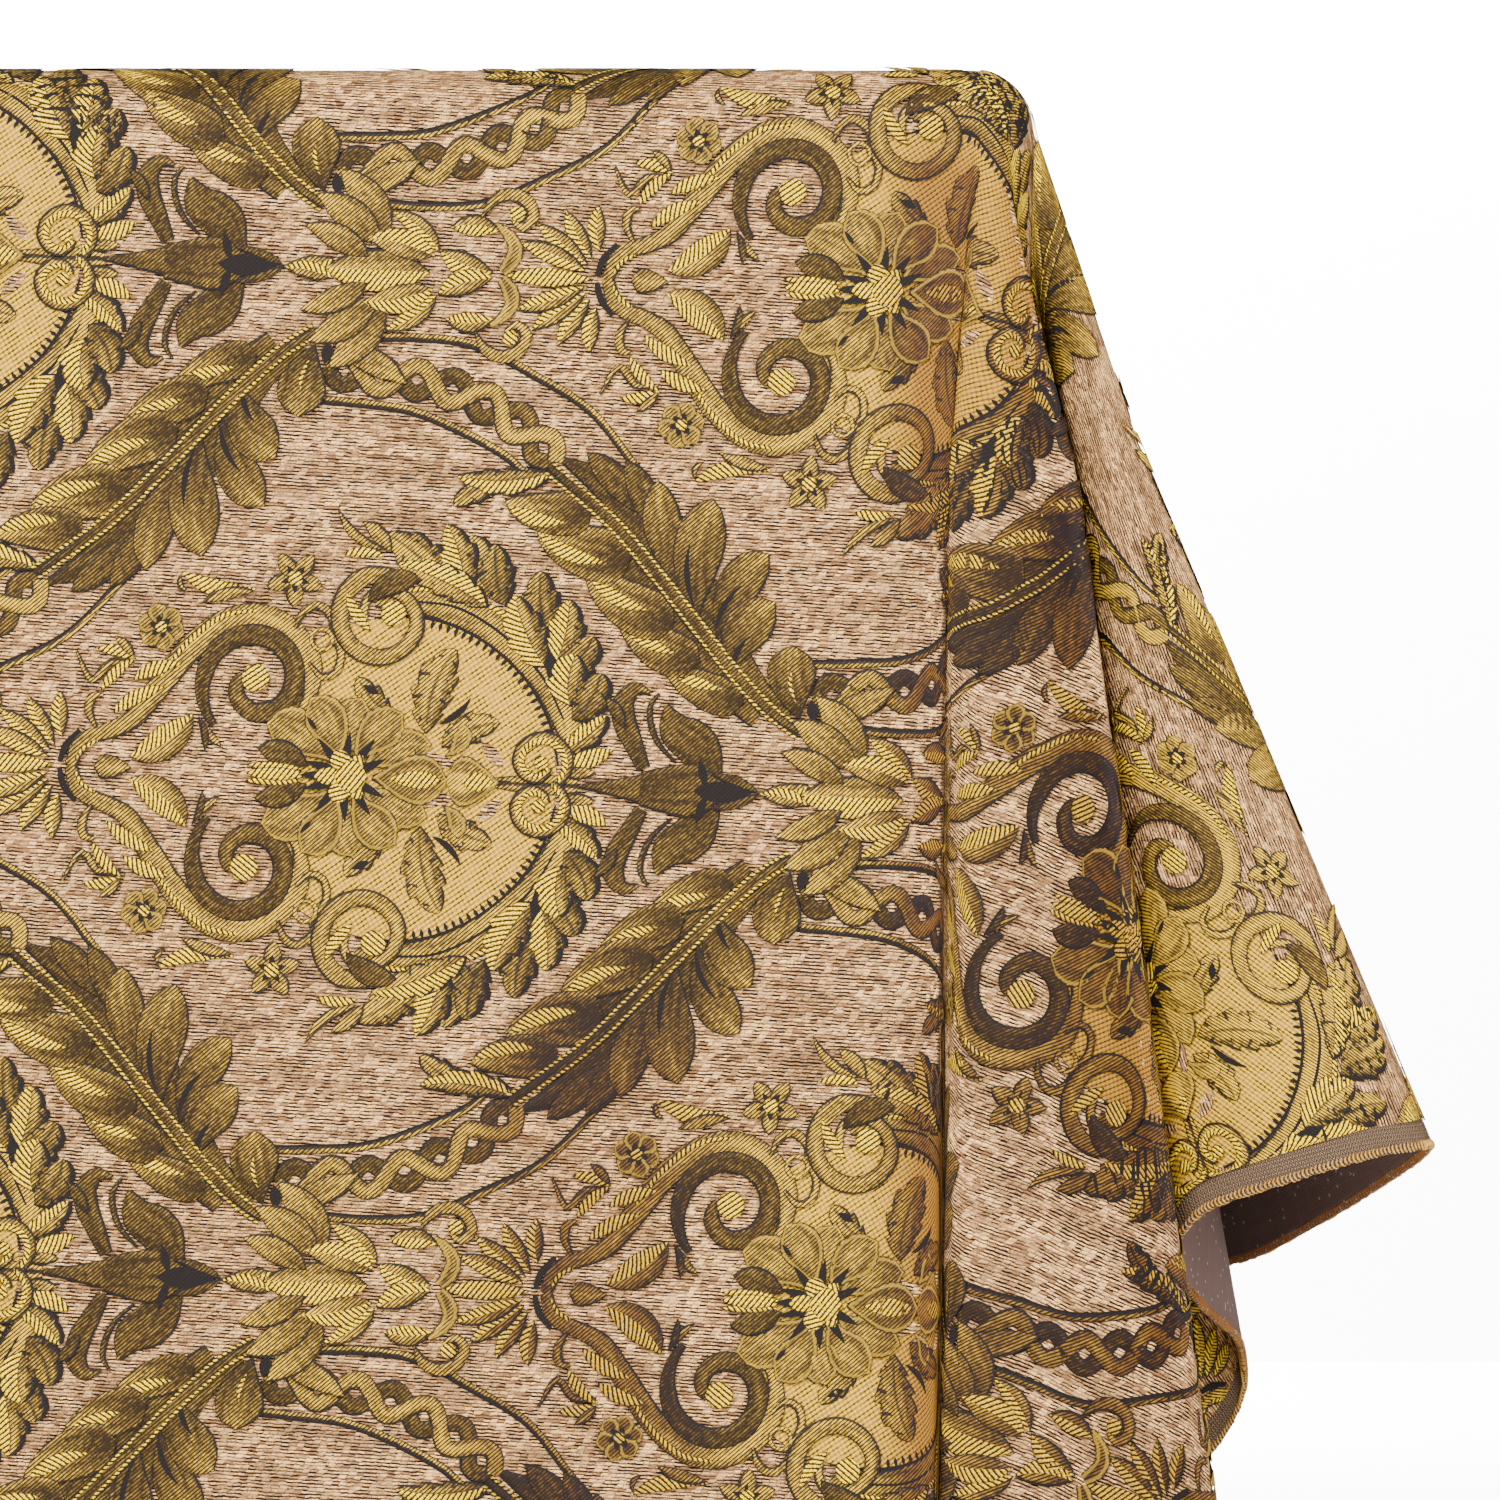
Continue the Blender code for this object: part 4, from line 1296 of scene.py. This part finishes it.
def figure_shape(graph):
    """A strip's marks, and which side of its middle a point is on, from -1 to 1."""
    tone, inset, off, along = (graph.mark(name) for name in MARKS)
    return tone, inset, off, along, off / (abs(off) + inset + 0.01)


def satin_material(colours, name, lobed=False, soft=False):
    """The figure's satin from bronze to light gold, dark at its rim and in its veins, with painted
    shade and glints where it turns from the light.
    """
    graph = Graph(name)
    x, y = graph.threads()
    across, down = TWILL_SLANT
    rise, run = x * across + y * down, x * down - y * across
    twill = (rise / TWILL_PITCH).ridge().ease(0.25, 0.95)
    fleck = graph.noise((rise * 0.9, run * 0.4, 4.0), 3.0, 0.8)
    tone, inset, off, along, side = figure_shape(graph)
    block = graph.block(x, y, 0.95, 0.8)
    grain = graph.noise((off * 0.45, along * 0.05, 3.0))
    lift = tone * 1.35 - 0.3 + (grain - 0.5) * 1.2 + (fleck - 0.5) * 2.4 + (twill - 0.55) * 1.3
    if lobed:
        lift = lift - side * 0.22
    if soft:
        ray = graph.noise((side * 2.4, along * 0.12, 5.0))
        lift = lift * 0.75 + 0.1 + (ray - 0.5) * 1.1
    # Painted shade where the satin turns from the light, and painted light on the side past the
    # corner
    dull = graph.mark("dull")
    patch = graph.noise((x * 0.06, y * 0.04, 9.0)).ease(0.3, 0.7)
    gold = lift - dull * 0.35
    colour = graph.blend(gold.ease(0.0, 0.5), colours.satin_dark, colours.satin_gold)
    colour = graph.blend(gold.ease(0.45, 1.3), colour, colours.satin_light)
    # Painted shade: plum-brown, with painted orange-brown glints where the satin's tone is lighter
    glint = (lift - patch * 0.4).ease(-0.1, 0.9)
    painted_shade_colour = graph.blend(glint, colours.dull_shade, colours.dull_satin)
    colour = graph.blend((dull * (0.65 + patch * 0.6)).least(0.95), colour, painted_shade_colour)
    edge = 0.15 + (side > 0) * 0.45 + block * 0.55
    if soft:
        light_rim = (1.9 - inset).ease(0.0, 0.6)
        colour = graph.blend(light_rim * 0.3, colour, colours.satin_light)
        edge = 0.2 + block * 0.6
    rim = (edge - inset).ease(-0.1, 0.15)
    if lobed:
        cut = (along / (LOBE * PICK_MM) + abs(side) * 0.35).fraction()
        rim = rim.most((cut > 0.84) * (abs(side) > 0.42) * (block > 0.25))
        vein = (0.32 + block * 0.3 - abs(off)) > 0
        rim = rim.most(vein * (along > 3.0) * (inset > 1.8) * 0.75)
    colour = graph.blend(rim * 0.93, colour, colours.slate)
    graph.bump(twill * 0.5 + fleck * 0.6 + inset.least(2.0) * 0.9, SATIN_RELIEF)
    return graph.finish(
        Base_Color=colour,
        Roughness=0.50 + fleck * 0.14,
        Metallic=0.18,
        Specular_IOR_Level=0.08,
    )


def raised_material(colours):
    """The brightest gold of the figure: raised cords slanted across each leaf, with painted
    highlights on their crowns and painted shade where they turn from the light.
    """
    graph = Graph("raised_figure")
    x, y = graph.threads()
    _, inset, off, along, _ = figure_shape(graph)
    cord = ((along + off * CORD_SLANT) / CORD_PITCH).ridge()
    block = graph.block(x, y, 0.7, 0.7)
    fleck = graph.noise((x * 1.4, y * 1.4))
    uneven = (cord + (fleck - 0.5) * 0.5 + (block - 0.5) * 0.2).ease(0.5, 0.9)
    colour = graph.blend(uneven, colours.raised_gap, colours.raised_gold)
    # Painted highlight: bright flecks on the cords' crowns
    highlight = (fleck.ease(0.36, 0.6) * cord).ease(0.3, 0.85)
    colour = graph.blend(highlight, colour, colours.raised_light)
    # Painted shade on the cords where they turn from the light
    painted_shade_colour = graph.blend(uneven, colours.dull_shade, colours.dull_field)
    colour = graph.blend(graph.mark("dull") * 0.85, colour, painted_shade_colour)
    rim = (0.15 + block * 0.45 - inset).ease(0.0, 0.2)
    colour = graph.blend(rim * 0.85, colour, colours.slate)
    graph.bump(cord + inset.least(1.2) * 0.6 + fleck * 0.2, CORD_RELIEF)
    return graph.finish(Base_Color=colour, Roughness=0.52, Metallic=0.18, Specular_IOR_Level=0.06)


def field_material(colours):
    """The pale field behind the flower: gold cords with pinkish slanting threads between, and
    painted shade where it turns from the light.
    """
    graph = Graph("field_figure")
    x, y = graph.threads()
    cord = ((x * FIELD_SLANT[0] + y * FIELD_SLANT[1]) / FIELD_CORD).ridge()
    knot = ((x * KNOT_SLANT[0] + y * KNOT_SLANT[1]) / (FIELD_CORD * 1.1)).ridge()
    speck = graph.noise((x * 1.3, y * 1.3))
    thread = graph.noise(((x + y) * 0.5, (x - y) * 0.1))
    weave = cord * 0.7 + knot * 0.3 + (speck - 0.5) * 0.6
    colour = graph.blend(weave.ease(0.38, 0.88), colours.field_gap, colours.field_light)
    pink = thread.ease(0.42, 0.62) * (1 - cord).ease(0.1, 0.6)
    colour = graph.blend(pink * 0.9, colour, colours.field_pink)
    # Painted shade on the field where it turns from the light
    painted_shade_colour = graph.blend(weave.ease(0.2, 0.8), colours.dull_shade, colours.dull_field)
    colour = graph.blend((graph.mark("dull") * (0.5 + speck)).least(0.95), colour, painted_shade_colour)
    line = graph.mark("inset") < (0.2 + graph.block(x, y, 0.9, 0.9) * 0.3)
    colour = graph.blend(line * 0.9, colour, colours.slate)
    graph.bump(weave, FIELD_RELIEF)
    return graph.finish(Base_Color=colour, Roughness=0.6, Metallic=0.1, Specular_IOR_Level=0.08)


def outline_material(colours):
    """The slate thread that draws outlines and veins."""
    graph = Graph("outline_figure")
    x, y = graph.threads()
    twill = ((x + y) * 0.7 / TWILL_PITCH).ridge()
    fleck = graph.noise((x * 0.8, y * 0.8))
    share = fleck.ease(0.5, 0.8) * 0.5 + twill * 0.15
    graph.bump(twill, OUTLINE_RELIEF)
    return graph.finish(
        Base_Color=graph.blend(share, colours.slate, colours.satin_dark),
        Roughness=0.7,
        Specular_IOR_Level=0.06,
    )


def thread_material(colours):
    """Twisted overlock thread, yellow and orange-brown by turns, with white flecks."""
    graph = Graph("overlock_thread")
    x, y = graph.threads()
    twist = ((x * 1.3 + y * 2.0) / 0.6).ridge()
    fleck = graph.chance((x * 2.2).floor(), (y * 2.2).floor())
    colour = graph.blend(graph.mark("tone"), colours.thread_brown, colours.thread_yellow)
    colour = graph.blend((fleck > 0.92) * 0.6, colour, colours.thread_white)
    colour = graph.blend((1 - twist) * 0.15, colour, colours.chenille_gap)
    graph.bump(twist, THREAD_RELIEF)
    return graph.finish(Base_Color=colour, Roughness=0.6, Specular_IOR_Level=0.2)


def paint_material(name, colour, roughness, relief):
    """Painted board: a fine roller stipple and a faint unevenness in the paint."""
    graph = Graph(name)
    place = graph.add("ShaderNodeTexCoord", {}, {}, "Object")
    stipple = graph.noise(place, 3.0, 0.6, scale=900.0)
    cloud = graph.noise(place, 3.0, scale=6.0)
    shade = graph.blend(cloud.ease(0.3, 0.7) * 0.12, colour, tuple(c * 0.82 for c in colour))
    graph.bump(stipple, relief)
    return graph.finish(Base_Color=shade, Roughness=roughness + (stipple - 0.5) * 0.12)


def overlock_thread(drape, side, name, material, sizes):
    """The thread that wraps one woven edge, turn after turn, along the whole cloth."""
    pitch = sizes.overlock_pitch
    turns = int((FLAT_LENGTH - 2 * HEM_MARGIN) / pitch)
    count = turns * TURN_POINTS + 1
    at = np.arange(count) / TURN_POINTS
    turn = 2 * math.pi * at
    rng = np.random.default_rng(5 + side)
    wobble = np.interp(at, np.arange(turns + 2), rng.uniform(*THREAD_WOBBLE, turns + 2)) / 1000
    inward = OVERLOCK_WIDTH / 2 - (OVERLOCK_WIDTH / 2 + wobble) * np.cos(turn)
    v = FRONT_OVERHANG - HEM_MARGIN - at * pitch + np.sin(turn) * pitch * THREAD_LEAN
    out = SIDE_OVERHANG - inward
    u = out if side > 0 else MIRROR_U - out
    height = np.sin(turn) * (SHEET_THICKNESS / 2 + THREAD_STANDOFF)
    edge = np.clip(u, MIRROR_U - SIDE_OVERHANG, SIDE_OVERHANG)
    spine, normals = drape.place(edge, v, height)
    beside, _ = drape.place(edge - side * 0.001, v, height)
    spine += unit(spine - beside) * np.abs(u - edge)[:, None]
    heading = unit(np.gradient(spine, axis=0))
    first = unit(np.cross(heading, normals))[:, None]
    second = np.cross(heading, first[:, 0])[:, None]
    ring = np.arange(THREAD_SIDES)[:, None] * 2 * math.pi / THREAD_SIDES
    radius = sizes.overlock_thread / 2
    points = spine[:, None] + radius * (first * np.cos(ring) + second * np.sin(ring))
    ids = np.arange(count * THREAD_SIDES).reshape(count, THREAD_SIDES)
    ahead = np.roll(ids, -1, axis=1)
    faces = np.stack((ids[:-1], ahead[:-1], ahead[1:], ids[1:]), axis=2).reshape(-1, 4)
    fabric = np.repeat(np.stack((u, v), axis=1), THREAD_SIDES, axis=0)
    outer = (np.sin(turn) > -0.3) * (THREAD_TONE + rng.uniform(*THREAD_TONE_SPREAD, count))
    marks = {"tone": np.repeat(outer, THREAD_SIDES)}
    layers = np.zeros(len(faces), int)
    return mesh_piece(name, points.reshape(-1, 3), faces, fabric, marks, layers, [material])


def colour_property(name, description, default):
    return bpy.props.FloatVectorProperty(
        name=name.replace("_", " ").capitalize(),
        description=description,
        default=default,
        subtype="COLOR",
        min=0.0,
        max=1.0,
    )


def size_property(name, description, default):
    return bpy.props.FloatProperty(
        name=name,
        description=description,
        default=default,
        unit="LENGTH",
        subtype="DISTANCE",
        min=0.0,
        precision=5,
    )


class DamaskSizes(bpy.types.PropertyGroup):
    """Sizes of the cloth's finish."""

    figure_lift: size_property("Figure lift", "How far the figure stands over the ground", 0.00022)
    overlock_pitch: size_property("Overlock pitch", "Cloth that each turn of thread takes", 0.0016)
    overlock_thread: size_property("Overlock thread", "Thickness of the edge thread", 0.0007)


class DamaskColours(bpy.types.PropertyGroup):
    """Colours of the cloth and the plinth."""

    __annotations__ = {
        name: colour_property(name, description, linear(display))
        for name, description, *display in COLOURS
    }


class DAMASK_OT_cloth(bpy.types.Operator):
    """Hang the chenille cloth over the plinth, and weave its figures"""

    bl_idname = "damask.cloth"
    bl_label = "Cloth"

    def execute(self, context):
        sizes, colours = context.scene.damask_sizes, context.scene.damask_colours
        drape = Drape()
        cloth = add_object("damask_sheet", drape.mesh)
        drape.mesh.shade_smooth()
        chenille = chenille_material(colours)
        for made in (chenille, reverse_material(colours)):
            drape.mesh.materials.append(made)
        solid = cloth.modifiers.new("thickness", "SOLIDIFY")
        solid.thickness = SHEET_THICKNESS
        solid.offset = 0.0
        solid.material_offset = 1
        solid.material_offset_rim = 0
        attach(cloth, "root")
        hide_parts("damask_cloth")
        # In the order of LAYERS
        finishes = [
            satin_material(colours, "satin_figure"),
            satin_material(colours, "leaf_figure", lobed=True),
            satin_material(colours, "petal_figure", soft=True),
            raised_material(colours),
            field_material(colours),
            outline_material(colours),
            chenille,
        ]
        trims = weave_figures(drape, sizes.figure_lift, finishes)
        thread = thread_material(colours)
        trims.append(overlock_thread(drape, 1, "overlock_right", thread, sizes))
        trims.append(overlock_thread(drape, -1, "overlock_left", thread, sizes))
        for piece in trims:
            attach(piece, "root")
        return {"FINISHED"}


class DAMASK_OT_plinth(bpy.types.Operator):
    """Paint the plinth's body and its recessed foot"""

    bl_idname = "damask.plinth"
    bl_label = "Plinth finish"

    def execute(self, context):
        colours = context.scene.damask_colours
        for node, name, paint, roughness in (
            ("plinth_body", "plinth_paint", colours.plinth_paint, 0.5),
            ("plinth_foot", "foot_paint", colours.foot_paint, 0.55),
        ):
            finish = paint_material(name, tuple(paint), roughness, PAINT_RELIEF)
            for slot in bpy.data.objects[node].material_slots:
                slot.material = finish
        return {"FINISHED"}


class DAMASK_OT_stage(bpy.types.Operator):
    """Set the pale floor and backdrop, the soft lights and the camera"""

    bl_idname = "damask.stage"
    bl_label = "Stage"

    def execute(self, context):
        scene = context.scene
        paper = paint_material("stage_paper", linear(STAGE_PAPER), 0.9, PAPER_RELIEF)
        for name, corners in STAGE_SHEETS:
            mesh = bpy.data.meshes.new(name)
            mesh.from_pydata(corners, [], [(0, 1, 2, 3)])
            mesh.materials.append(paper)
            sheet = add_object(name, mesh)
        for name, place, target, width, height, power in LIGHTS:
            light = bpy.data.lights.new(name, "AREA")
            light.shape = "RECTANGLE"
            light.size = width
            light.size_y = height
            light.energy = power
            lamp = add_object(name, light)
            lamp.location = place
            way = Vector(target) - Vector(place)
            lamp.rotation_euler = way.to_track_quat("-Z", "Y").to_euler()
        world = bpy.data.worlds.new("studio")
        world.use_nodes = True
        background = world.node_tree.nodes["Background"]
        background.inputs["Color"].default_value = (1.0, 1.0, 1.0, 1.0)
        background.inputs["Strength"].default_value = WORLD_STRENGTH
        scene.world = world
        view = bpy.data.cameras.new("camera")
        view.lens = CAMERA_LENS
        view.sensor_width = CAMERA_SENSOR
        camera = add_object("camera", view)
        camera.location = CAMERA_PLACE
        camera.rotation_euler = (math.pi / 2, 0.0, 0.0)
        scene.camera = camera
        return {"FINISHED"}


class DAMASK_PT_panel(bpy.types.Panel):
    """Sizes, colours and steps of the damask"""

    bl_idname = "DAMASK_PT_panel"
    bl_label = "Draped damask"
    bl_space_type = "VIEW_3D"
    bl_region_type = "UI"
    bl_category = "Damask"

    def draw(self, context):
        for step in STEPS:
            self.layout.operator(step)
        for group in (context.scene.damask_sizes, context.scene.damask_colours):
            for name in group.bl_rna.properties.keys():
                if name not in ("rna_type", "name"):
                    self.layout.prop(group, name)


CLASSES = (
    DamaskSizes,
    DamaskColours,
    DAMASK_OT_cloth,
    DAMASK_OT_plinth,
    DAMASK_OT_stage,
    DAMASK_PT_panel,
)
STEPS = ("damask.cloth", "damask.plinth", "damask.stage")


def register():
    for kind in CLASSES:
        bpy.utils.register_class(kind)
    bpy.types.Scene.damask_sizes = bpy.props.PointerProperty(type=DamaskSizes)
    bpy.types.Scene.damask_colours = bpy.props.PointerProperty(type=DamaskColours)


def unregister():
    del bpy.types.Scene.damask_colours
    del bpy.types.Scene.damask_sizes
    for kind in reversed(CLASSES):
        bpy.utils.unregister_class(kind)


def main():
    register()
    for step in STEPS:
        area, name = step.split(".")
        getattr(getattr(bpy.ops, area), name)()


if __name__ == "__main__":
    main()
